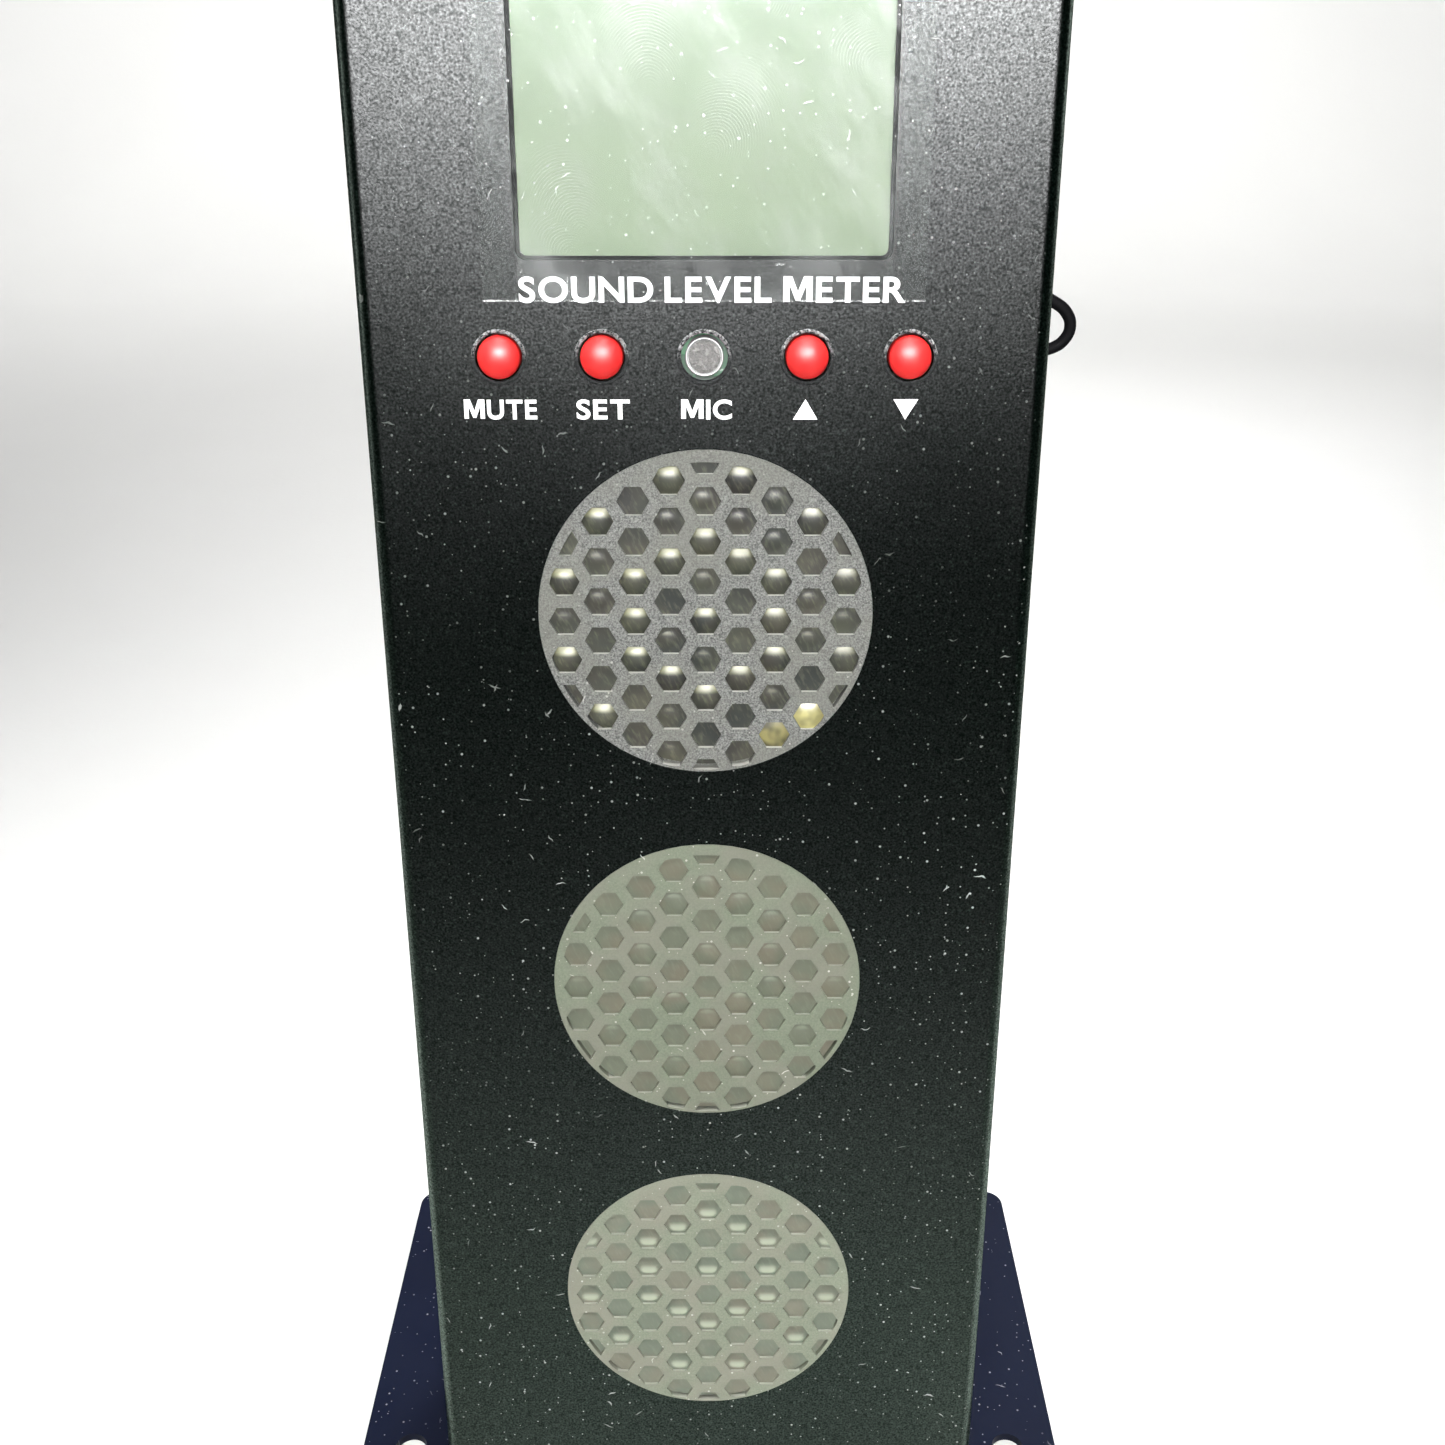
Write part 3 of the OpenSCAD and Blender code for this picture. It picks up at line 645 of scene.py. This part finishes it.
MATERIALS = {
    "case_coat": powder_coat(),
    "foot_coat": navy_coat(),
    "net_grey": net_plastic("grey_net", rgb(0.048, 0.050, 0.046), rgb(0.188, 0.190, 0.178),
                            rgb(0.125, 0.126, 0.106), 0.4, 0.3),
    "net_beige": net_plastic("beige_net", rgb(0.152, 0.172, 0.126), rgb(0.19, 0.212, 0.157),
                             rgb(0.20, 0.19, 0.155)),
    "led_lens": epoxy(),
    "film": film_plastic(),
    "lcd": lcd_face(),
    "red_caps": red_plastic(),
    "bright_metal": metal("bright_steel", rgb(0.55, 0.55, 0.54), rgb(0.72, 0.72, 0.7)),
    "dark_screws": metal("blackened_steel", rgb(0.03, 0.03, 0.032), rgb(0.055, 0.055, 0.06), 0.35),
    "brass": metal("brass", rgb(0.55, 0.36, 0.1), rgb(0.7, 0.48, 0.16)),
    "felt": felt(),
    "board": board(),
    "led_board": dark_board(),
    "chip": moulded("chip_epoxy", rgb(0.012, 0.012, 0.013), rgb(0.03, 0.03, 0.03), 0.5),
    "black_plastic": moulded("black_plastic", rgb(0.012, 0.012, 0.013), rgb(0.022, 0.022, 0.023)),
    "white_plastic": moulded("cream_nylon", rgb(0.6, 0.58, 0.5), rgb(0.72, 0.7, 0.62)),
    "grey_plastic": ribbon_plastic(),
    "red_wire": moulded("wire_insulation", rgb(0.45, 0.015, 0.015), rgb(0.6, 0.03, 0.02), 0.4),
    "lead_black": moulded("lead_rubber", rgb(0.002, 0.002, 0.0025), rgb(0.004, 0.004, 0.005), 0.6,
                          0.5, 0.015, 0.03),
    "tie": moulded("tie_strap", rgb(0.035, 0.036, 0.04), rgb(0.06, 0.062, 0.068), 0.7, 0.3, 0.08),
}
SHEETS = {
    "upper": lens_sheet_plastic("smoked_sheet", rgb(0.026, 0.029, 0.026), rgb(0.38, 0.38, 0.22),
                                0.2, 0.56, 0.14),
    "middle": lens_sheet_plastic("frosted_sheet", rgb(0.090, 0.100, 0.070), rgb(0.22, 0.25, 0.17),
                                 0.24, 0.46, 0.25),
    "lower": lens_sheet_plastic("pale_frosted_sheet", rgb(0.118, 0.136, 0.104),
                                rgb(0.28, 0.31, 0.235), 0.15, 0.28, 0.12),
}
# Black for the frame round the display: painted shade, standing for the shadow at the edge of the
# display's window.
SHADE_FRAME_BLACK = moulded("shade_frame_black", rgb(0.004, 0.005, 0.005), rgb(0.008, 0.009, 0.009), 0.7,
                        shine=0.05)
# The middle window's net: a darker copy of the beige net.
MIDDLE_NET = net_plastic("beige_net_darker_copy", rgb(0.118, 0.136, 0.096), rgb(0.150, 0.170, 0.122),
                         rgb(0.158, 0.150, 0.122))
RIM_WEAR_AND_HIGHLIGHT = rim_wear_and_painted_highlight()
CAN_METAL = metal("dulled_can", rgb(0.11, 0.11, 0.11), rgb(0.2, 0.2, 0.195), 0.5)
PRINT = white_paint()
LIT = glowing_lens("lit_lens", rgb(1.0, 0.92, 0.38), 0.28, 0.58)
# Painted light: the spill lens glows in a cell with no lamp behind it, standing for light spilled
# from the lit lamp beside it.
SPILL = glowing_lens("spill_lens", rgb(0.74, 0.66, 0.22), 0.0, 0.28)

for part in frame["record"]["subparts"]:
    finish = MATERIALS[part["material_slot"]]
    node_object = nodes[part["node"]]
    node_object.data.materials.clear()
    node_object.data.materials.append(finish)
cable.data.materials.append(MATERIALS["lead_black"])

# ---------- Building pieces ----------


def weigh_normals(piece):
    """Keeps big flat faces flat where small rounded ones meet them."""
    piece.modifiers.new("weighted", "WEIGHTED_NORMAL").keep_sharp = True
    bpy.context.view_layer.update()
    depsgraph = bpy.context.evaluated_depsgraph_get()
    mesh = bpy.data.meshes.new_from_object(piece.evaluated_get(depsgraph))
    piece.modifiers.clear()
    mesh.name = piece.name
    piece.data = mesh


def finish_piece(name, bm, material, body, smooth_angle=40):
    """Turns a mesh in metres into a piece that rides on a body."""
    bmesh.ops.recalc_face_normals(bm, faces=bm.faces)
    mesh = bpy.data.meshes.new(name)
    bm.to_mesh(mesh)
    bm.free()
    if "custom_normal" in mesh.attributes:
        mesh.attributes.remove(mesh.attributes["custom_normal"])
    mesh.materials.clear()
    mesh.materials.append(material)
    mesh.shade_smooth()
    mesh.set_sharp_from_angle(angle=math.radians(smooth_angle))
    piece = bpy.data.objects.new(name, mesh)
    scene.collection.objects.link(piece)
    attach(piece, body)
    return piece


def softened(node, width, limit=35, material=None):
    """The piece that stands for a CAD node: the same shape with its sharp edges broken."""
    source = nodes[node]
    bm = bmesh.new()
    bm.from_mesh(source.data)
    bmesh.ops.remove_doubles(bm, verts=bm.verts, dist=0.002 * MM)
    bmesh.ops.dissolve_limit(bm, angle_limit=math.radians(0.4), verts=bm.verts, edges=bm.edges)
    sharp = [e for e in bm.edges if len(e.link_faces) == 2
             and e.calc_face_angle(0) > math.radians(limit)]
    bmesh.ops.bevel(bm, geom=sharp, offset=width * MM, offset_type="OFFSET", segments=2,
                    profile=0.5, affect="EDGES", clamp_overlap=True)
    slot = next(p["material_slot"] for p in frame["record"]["subparts"] if p["node"] == node)
    piece = finish_piece(node + "_finished", bm, material or MATERIALS[slot], "case")
    weigh_normals(piece)
    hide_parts(node)
    return piece


def turn_profile(bm, profile, u, w, steps=48, squash_up=1.0):
    """Turns (radius, depth) points around the line along the case's depth at u, w."""
    rings = []
    for radius, depth in profile:
        if radius == 0:
            rings.append([bm.verts.new(at(u, depth, w))])
            continue
        ring = []
        for i in range(steps):
            angle = 2 * math.pi * i / steps
            ring.append(bm.verts.new(at(u + radius * math.cos(angle), depth,
                                        w + radius * squash_up * math.sin(angle))))
        rings.append(ring)
    for a, b in zip(rings, rings[1:]):
        for i in range(steps):
            j = (i + 1) % steps
            corners = [a[i % len(a)], a[j % len(a)], b[j % len(b)], b[i % len(b)]]
            bm.faces.new(list(dict.fromkeys(corners)))
    return rings


def arc_points(centre, radius, start, end, steps):
    """Points of an arc as (radius, depth), angles in degrees from the outward direction."""
    return [(centre[0] + radius * math.cos(math.radians(start + (end - start) * i / steps)),
             centre[1] + radius * math.sin(math.radians(start + (end - start) * i / steps)))
            for i in range(steps + 1)]


# ---------- Case, foot and nets ----------

SOFT_EDGES = {"front_shell": 0.35, "rear_cover": 0.25, "foot_plate": 0.3, "stand_bracket": 0.3,
              "jack_nut": 0.15, "dc_jack": 0.2, "coil_tie": 0.12, "usb_shell": 0.1,
              "cover_screws": 0.12, "stand_screws": 0.15, "mic_board": 0.1, "lcd_frame": 0.2}
for name, width in SOFT_EDGES.items():
    softened(name, width)
for name in WINDOWS:
    softened("net_" + name, 0.12, 70, MIDDLE_NET if name == "middle" else None)


def hole_rims():
    """The rough bead of paint around each hole of the button row."""
    rng = random.Random(5)
    steps = 72
    bead_r = 0.3
    bead = arc_points((BUTTON_HOLE_R + bead_r - 0.02, 0), bead_r, 0, -180, 6)
    bm = bmesh.new()
    for step in (-2, -1, 0, 1, 2):
        lift = [rng.uniform(0.55, 1.25) for _ in range(steps)]
        made = []
        for radius, depth in bead:
            verts = []
            for i in range(steps):
                angle = 2 * math.pi * i / steps
                reach = radius + (lift[i] - 0.9) * 0.12
                verts.append(bm.verts.new(at(
                    step * BUTTON_PITCH + reach * math.cos(angle), depth * 0.55 * lift[i],
                    ROW_W + reach * math.sin(angle))))
            made.append(verts)
        made.append(made[0])
        for a, b in zip(made, made[1:]):
            for i in range(steps):
                j = (i + 1) % steps
                bm.faces.new([a[i], a[j], b[j], b[i]])
    return finish_piece("hole_rims", bm, RIM_WEAR_AND_HIGHLIGHT, "case", 80)


hole_rims()

# ---------- Warning lights ----------

LAMPS_A = [(0, 2), (0, 0), (0, -2), (1, 3.5), (1, 1.5), (1, -1.5), (2, 1), (2, 0), (2, -1),
           (3, 2.5), (3, -2.5), (4, 1), (4, -1)]
LAMPS_B = [(0, 3), (0, 1), (0, -1), (1, 2.5), (1, -0.5), (1, -2.5), (2, 2), (2, 1), (2, 0),
           (3, -1.5), (4, 2), (4, 0)]
LAMPS = {"upper": LAMPS_A, "middle": LAMPS_B, "lower": LAMPS_B}
LIT_LAMP = (3, -2.5)
SPILL_CELL = (2, -3)
NET_RIM = 26


def cell(column, row):
    return column * CELL_PITCH * math.cos(math.radians(30)), row * CELL_PITCH - GRID_DROP


def lamp_places(window):
    for column, row in LAMPS[window]:
        for side in ([1] if column == 0 else [-1, 1]):
            yield (side * column, row), cell(side * column, row)


SHEET_FRONTS = {"upper": 0.86, "middle": 0.5, "lower": 0.5}
SHEET_BACK = 1.5
SHEET_STEP = 0.4
SHEET_SIDES = 300
GLOW_R = 2.75


class Lens:
    """A dome or a hollow of a lens sheet: its place, its half sizes and its height. It is
    round when square is 2, and has straighter sides the larger square is."""

    def __init__(self, u, w, half_u, half_w, rise, square=2):
        self.place, self.half, self.rise, self.square = (u, w), (half_u, half_w), rise, square

    def height(self, u, w):
        across = (u - self.place[0]) / self.half[0]
        up = (w - self.place[1]) / self.half[1]
        reach = abs(across) ** self.square + up ** 2
        return self.rise * (1 - reach) if reach < 1 else 0


def lens_sheet(window, lenses):
    """The moulded sheet right behind a net, with its domes (above 0) and hollows (below 0)."""
    centre = WINDOWS[window]
    front = SHEET_FRONTS[window]
    edge = NET_RIM - 0.12
    count = int(edge / SHEET_STEP)
    profile = [(edge * i / count, front) for i in range(count + 1)]
    bm = bmesh.new()
    closed = profile + [(edge, SHEET_BACK), (0, SHEET_BACK)]
    rings = turn_profile(bm, closed, 0, centre, SHEET_SIDES)
    for (radius, _), ring in zip(profile, rings):
        for i, vert in enumerate(ring):
            angle = 2 * math.pi * i / SHEET_SIDES
            u, w = radius * math.cos(angle), radius * math.sin(angle)
            height = sum(lens.height(u, w) for lens in lenses)
            if height:
                vert.co = at(u, front - height, centre + w)
    finish_piece("lens_sheet_" + window, bm, SHEETS[window], "case", 60)


def led_fittings(window):
    """The reflector cup inside each lamp's epoxy."""
    bm = bmesh.new()
    centre = WINDOWS[window]
    for _, (u, w) in lamp_places(window):
        turn_profile(bm, [(0, 6.3), (0.55, 6.2), (1.25, 5.3), (1.4, 5.3), (1.0, 7.2), (0, 7.4)],
                     u, centre + w, 20)
    return finish_piece("led_cups_" + window, bm, MATERIALS["bright_metal"], "case")


def glow(name, key, sag, material):
    """A glowing lens laid over the sheet in its cell: lit from behind in a lamp's cell, and painted
    spilled light in a cell with no lamp.
    """
    u, w = cell(*key)
    sheet = SHEET_FRONTS["upper"]
    bm = bmesh.new()
    lens = [(GLOW_R * i / 8, sheet - 0.04 + sag * (1 - (i / 8) ** 2)) for i in range(9)]
    turn_profile(bm, lens + [(GLOW_R, sheet), (0, sheet)], u, WINDOWS["upper"] + w, 32)
    return finish_piece(name, bm, material, "case")


def whole_cells():
    """Every cell of a net as its column, its row and its place."""
    for column in range(-4, 5):
        for k in range(-4, 6):
            row = k if column % 2 == 0 else k - 0.5
            u, w = cell(column, row)
            if math.hypot(u, w) < NET_RIM - 1:
                yield (column, row), (u, w)


def upper_lenses():
    """A strong dome before each lamp, and low ones in some of the other cells."""
    rng = random.Random(21)
    lamps = [key for key, _ in lamp_places("upper")]
    lenses = []
    for key, (u, w) in whole_cells():
        if key in (LIT_LAMP, SPILL_CELL):
            continue
        if key in lamps:
            lenses.append(Lens(u, w, 2.6, 2.4, 0.66 - 0.006 * u))
        elif rng.random() < 0.5:
            lenses.append(Lens(u - 0.4, w, 1.5, 1.4, 0.2))
    return lenses


for window in WINDOWS:
    led_fittings(window)
lens_sheet("upper", upper_lenses())
lens_sheet("middle", [Lens(u, w, 2.2, 2.0, 0.3) for _, (u, w) in lamp_places("middle")])
lens_sheet("lower", [Lens(u, w + 0.5, 1.95, 2.3, -0.25, 4) for _, (u, w) in lamp_places("lower")])
glow("lit_lamp_glow", LIT_LAMP, -0.6, LIT)
glow("lamp_spill_glow", SPILL_CELL, -0.3, SPILL)

# ---------- Buttons and microphone ----------

CAP_FRONT = -0.4
CAP_RISE = 1.4


def button_cap(name, step):
    """A domed cap with a softly rounded rim and a stem that reaches its switch."""
    dome_r = 4.5
    front = CAP_FRONT - CAP_RISE
    edge = BUTTON_R - 0.25
    bm = bmesh.new()
    profile = [(0, front)]
    for i in range(1, 11):
        radius = edge * i / 10
        profile.append((radius, front + dome_r - math.sqrt(dome_r ** 2 - radius ** 2)))
    rim = profile[-1][1]
    profile += [(BUTTON_R - 0.1, rim + 0.22), (BUTTON_R, rim + 0.5), (BUTTON_R, 3.9),
                (BUTTON_R - 0.1, 4.0), (1.5, 4.0), (1.5, 7.8), (0, 7.8)]
    turn_profile(bm, profile, step * BUTTON_PITCH, ROW_W, 64)
    cap = finish_piece("button_cap_" + name, bm, MATERIALS["red_caps"], name + "_button")
    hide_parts("button_" + name)


for name, step in BUTTONS.items():
    button_cap(name, step)


def microphone():
    """A drawn metal can with a rolled lip around a disc of felt."""
    can_r = 2.93
    bm = bmesh.new()
    lip = arc_points((can_r - 0.17, 0.47), 0.17, -180, 0, 8)
    turn_profile(bm, [(0, 0.95), (can_r - 0.34, 0.95)] + lip
                 + [(can_r, 3.4), (can_r - 0.2, 3.6), (0, 3.6)], 0, ROW_W, 64)
    can = finish_piece("mic_capsule", bm, CAN_METAL, "case")
    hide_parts("mic_can")
    rng = random.Random(11)
    bm = bmesh.new()
    rings = turn_profile(bm, [(0, 0.5), (0.5, 0.5), (1.0, 0.49), (1.5, 0.49), (2.0, 0.5),
                              (2.35, 0.54), (2.46, 0.65), (2.46, 0.94), (0, 0.94)], 0, ROW_W, 40)
    for ring in rings[:6]:
        for vert in ring:
            vert.co += CASE_TURN @ Vector((0, rng.uniform(-0.045, 0.045) * MM, 0))
    pad = finish_piece("mic_felt_pad", bm, MATERIALS["felt"], "case")
    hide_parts("mic_felt")


microphone()

# ---------- Display film and printing ----------


def film():
    """Clear film stuck over the display, thin, with slight ripples across it."""
    columns, rows = 34, 36
    back, front = -0.02, -0.13
    bm = bmesh.new()
    rng = random.Random(3)
    waves = [(rng.uniform(0.05, 0.2), rng.uniform(0.05, 0.2), rng.uniform(0, 6)) for _ in range(4)]

    def lift(u, w):
        return sum(math.sin(a * u + b * w + c) for a, b, c in waves) * 0.004

    sheets = []
    for depth in (front, back):
        grid = []
        for j in range(rows + 1):
            w = FILM_LOW + FILM_H * j / rows
            row = []
            for i in range(columns + 1):
                u = -FILM_W / 2 + FILM_W * i / columns
                row.append(bm.verts.new(at(u, depth + lift(u, w), w)))
            grid.append(row)
        sheets.append(grid)
    for grid in sheets:
        for j in range(rows):
            for i in range(columns):
                bm.faces.new([grid[j][i], grid[j][i + 1], grid[j + 1][i + 1], grid[j + 1][i]])
    outer, inner = sheets
    loops = [
        ([row[0] for row in outer], [row[0] for row in inner]),
        ([row[-1] for row in outer], [row[-1] for row in inner]),
        (outer[0], inner[0]),
        (outer[-1], inner[-1]),
    ]
    for a, b in loops:
        for i in range(len(a) - 1):
            bm.faces.new([a[i], a[i + 1], b[i + 1], b[i]])
    piece = finish_piece("protective_film", bm, MATERIALS["film"], "case")
    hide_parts("screen_film")


film()


def rounded_loop(half_w, half_h, radius, steps=6):
    """Points round a rectangle with rounded corners, about its middle."""
    points = []
    for corner, (sx, sy) in enumerate(((1, 1), (-1, 1), (-1, -1), (1, -1))):
        for i in range(steps + 1):
            angle = math.radians(90 * (corner + i / steps))
            points.append((sx * (half_w - radius) + radius * math.cos(angle),
                           sy * (half_h - radius) + radius * math.sin(angle)))
    return points


def display_shade_frame():
    """A black frame that shows as a dark line around the display: a dark thing that stands for the
    shade at the window's edge, painted shade.
    """
    middle = SCREEN_LOW + SCREEN_H / 2
    outer = rounded_loop(SCREEN_W / 2 - 0.06, SCREEN_H / 2 - 0.06, 1.5)
    inner = rounded_loop(SCREEN_W / 2 - 0.5, SCREEN_H / 2 - 0.5, 1.1)
    loops = [(outer, 1.9), (outer, 0.9), (inner, 0.9), (inner, 1.9)]
    bm = bmesh.new()
    rings = [[bm.verts.new(at(u, depth, middle + w)) for u, w in loop] for loop, depth in loops]
    rings.append(rings[0])
    for a, b in zip(rings, rings[1:]):
        for i in range(len(a)):
            j = (i + 1) % len(a)
            bm.faces.new([a[i], a[j], b[j], b[i]])
    return finish_piece("display_shade_frame", bm, SHADE_FRAME_BLACK, "case")


display_shade_frame()

PRINT_T = 0.03


def on_face(mesh):
    """Lays a mesh drawn in millimetres in its own x and y onto the case's face."""
    for vert in mesh.vertices:
        u, w, up = vert.co
        vert.co = at(u, -up, w)


def print_piece(name, mesh):
    mesh.materials.clear()
    mesh.materials.append(PRINT)
    piece = bpy.data.objects.new(name, mesh)
    scene.collection.objects.link(piece)
    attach(piece, "case")
    return piece


# A bold capital M, drawn here because the built-in font can't be thickened into one
BOLD_M = [(0, 0), (0, 1), (0.32, 1), (0.54, 0.40), (0.76, 1), (1.08, 1), (1.08, 0), (0.85, 0),
          (0.85, 0.66), (0.62, 0.05), (0.46, 0.05), (0.23, 0.66), (0.23, 0)]
FONT_CAP = 0.72
BOLDER = 0.034
WORD_GAP = 0.3
LETTER_GAP = 0.13


def glyph(character):
    """One bold character as a flat solid a unit high: its mesh, with z 0 at the back."""
    if character == "M":
        bm = bmesh.new()
        back = bm.faces.new([bm.verts.new((x, y, 0)) for x, y in BOLD_M])
        made = bmesh.ops.extrude_face_region(bm, geom=[back])
        for vert in [g for g in made["geom"] if isinstance(g, bmesh.types.BMVert)]:
            vert.co.z = 1
        bmesh.ops.recalc_face_normals(bm, faces=bm.faces)
        mesh = bpy.data.meshes.new("glyph")
        bm.to_mesh(mesh)
        bm.free()
        return mesh
    data = bpy.data.curves.new("glyph", "FONT")
    data.body = character
    data.size = 1 / FONT_CAP
    data.offset = BOLDER
    data.extrude = 0.5
    carrier = bpy.data.objects.new("glyph", data)
    scene.collection.objects.link(carrier)
    bpy.context.view_layer.update()
    mesh = bpy.data.meshes.new_from_object(carrier.evaluated_get(
        bpy.context.evaluated_depsgraph_get()))
    bpy.data.objects.remove(carrier)
    left = min(v.co.x for v in mesh.vertices)
    for vert in mesh.vertices:
        vert.co.x -= left
        vert.co.z += 0.5
    return mesh


def label(name, words, centre, baseline, height, width):
    """Generic words in plain bold capitals, fitted to a height and a width."""
    bm = bmesh.new()
    cursor = 0
    for character in words:
        if character == " ":
            cursor += WORD_GAP
            continue
        mesh = glyph(character)
        start = len(bm.verts)
        bm.from_mesh(mesh)
        bm.verts.ensure_lookup_table()
        for vert in bm.verts[start:]:
            vert.co.x += cursor
        cursor = max(v.co.x for v in bm.verts) + LETTER_GAP
    low = min(v.co.y for v in bm.verts)
    tall = max(v.co.y for v in bm.verts) - low
    wide = max(v.co.x for v in bm.verts)
    for vert in bm.verts:
        vert.co = Vector((
            centre + (vert.co.x / wide - 0.5) * width,
            baseline + (vert.co.y - low) * height / tall,
            PRINT_T if vert.co.z > 0.5 else -0.01,
        ))
    bmesh.ops.remove_doubles(bm, verts=bm.verts, dist=0.001)
    mesh = bpy.data.meshes.new(name)
    bm.to_mesh(mesh)
    bm.free()
    on_face(mesh)
    return print_piece("label_" + name, mesh)


def arrow(name, centre, low, up):
    """A filled triangle that points up or down."""
    half, tall = 1.9, 3.1
    base, tip = (low, low + tall) if up else (low + tall, low)
    outline = [(centre - half, base), (centre + half, base), (centre, tip)]
    bm = bmesh.new()
    front = [bm.verts.new((x, y, PRINT_T)) for x, y in outline]
    back = [bm.verts.new((x, y, -0.01)) for x, y in outline]
    bm.faces.new(front)
    bm.faces.new(back[::-1])
    for i in range(3):
        j = (i + 1) % 3
        bm.faces.new([front[i], back[i], back[j], front[j]])
    bmesh.ops.recalc_face_normals(bm, faces=bm.faces)
    mesh = bpy.data.meshes.new(name)
    bm.to_mesh(mesh)
    bm.free()
    on_face(mesh)
    return print_piece("label_" + name, mesh)


label("title", "SOUND LEVEL METER", 1.2, 234.0, 3.86, 58)
label("mute", "MUTE", -31.4, 216.6, 3.08, 11.2)
label("set", "SET", -15.6, 216.6, 3.08, 8.2)
label("mic", "MIC", 0.3, 216.6, 3.08, 7.8)
arrow("up", 15.5, 216.6, True)
arrow("down", 30.9, 216.6, False)

# ---------- Plugs on the lead ----------

for name in ("dc_plug", "usb_overmould"):
    softened(name, 0.5)

# ---------- Floor and light ----------


def backdrop():
    """A pale floor that sweeps up into a wall well behind."""
    bm = bmesh.new()
    half, front, wall, radius, top = 4.0, -5.0, 1.6, 0.5, 3.0
    profile = [(front, 0)]
    for i in range(13):
        angle = math.radians(90 * i / 12)
        profile.append((wall - radius + radius * math.sin(angle), radius * (1 - math.cos(angle))))
    profile.append((wall, top))
    rows = [[bm.verts.new((x, y, z)) for x in (-half, half)] for y, z in profile]
    for a, b in zip(rows, rows[1:]):
        bm.faces.new([a[0], a[1], b[1], b[0]])
    mesh = bpy.data.meshes.new("backdrop")
    bm.to_mesh(mesh)
    bm.free()
    mesh.shade_smooth()
    finish = Finish("pale_backdrop", Roughness=0.6, Specular_IOR_Level=0.3)
    cloud = finish.noise(180, 3)
    base = finish.blend(cloud, rgb(0.5, 0.5, 0.49), rgb(0.54, 0.54, 0.53))
    finish.bump(finish.noise(3), 0.05)
    mesh.materials.append(finish.paint(Base_Color=base))
    floor = bpy.data.objects.new("backdrop", mesh)
    scene.collection.objects.link(floor)


def area_light(name, place, target, size, power, spread=180):
    """A rectangular light aimed at a target; spread is the width of its beam in degrees."""
    data = bpy.data.lights.new(name, "AREA")
    data.spread = math.radians(spread)
    data.shape = "RECTANGLE"
    data.size, data.size_y = size
    data.energy = power
    light = bpy.data.objects.new(name, data)
    light.location = place
    aim = Vector(target) - Vector(place)
    light.rotation_euler = aim.to_track_quat("-Z", "Y").to_euler()
    scene.collection.objects.link(light)
    return light


def studio_world():
    """Soft light all round, dimmer from the front, where the face looks."""
    world = bpy.data.worlds.new("studio")
    world.use_nodes = True
    tree = world.node_tree
    split = tree.nodes.new("ShaderNodeSeparateXYZ")
    tree.links.new(tree.nodes.new("ShaderNodeTexCoord").outputs["Generated"], split.inputs[0])
    strength = tree.nodes.new("ShaderNodeMapRange")
    tree.links.new(split.outputs["Y"], strength.inputs["Value"])
    for key, number in (("From Min", -0.55), ("From Max", 0.5), ("To Min", 0.03), ("To Max", 0.25)):
        strength.inputs[key].default_value = number
    background = tree.nodes["Background"]
    background.inputs["Color"].default_value = (0.96, 0.97, 1, 1)
    tree.links.new(strength.outputs["Result"], background.inputs["Strength"])
    scene.world = world


backdrop()
studio_world()
area_light("key", (0.05, -0.97, 0.66), (0.01, -0.03, 0.2), (0.34, 0.26), 0.95, spread=45)
haze = area_light("haze", (-0.01, -0.96, 0.68), (0, -0.03, 0.28), (0.8, 0.36), 106)
haze.visible_diffuse = False
area_light("overhead", (0, 0.4, 1.25), (0, 0.15, 0), (0.9, 0.9), 1.0, spread=50)
area_light("ledge_light", (0, -0.35, 1.2), (0, -0.02, 0.1), (0.5, 0.2), 0.8, spread=32)
area_light("wall", (0, 0.6, 2.0), (0, 1.45, 0.5), (2.4, 0.5), 24, spread=80)
back = area_light("back", (0.5, 1.3, 0.7), (0, 0.05, 0.2), (0.6, 0.6), 6, spread=50)
back.visible_glossy = False
area_light("left_strip", (-1.1, -0.1, 0.5), (0, 0, 0.15), (0.3, 1.0), 3)
area_light("rim_right", (1.0, 0.5, 0.6), (0, 0, 0.15), (0.3, 1.0), 2.5)
scene.view_settings.view_transform = "Standard"
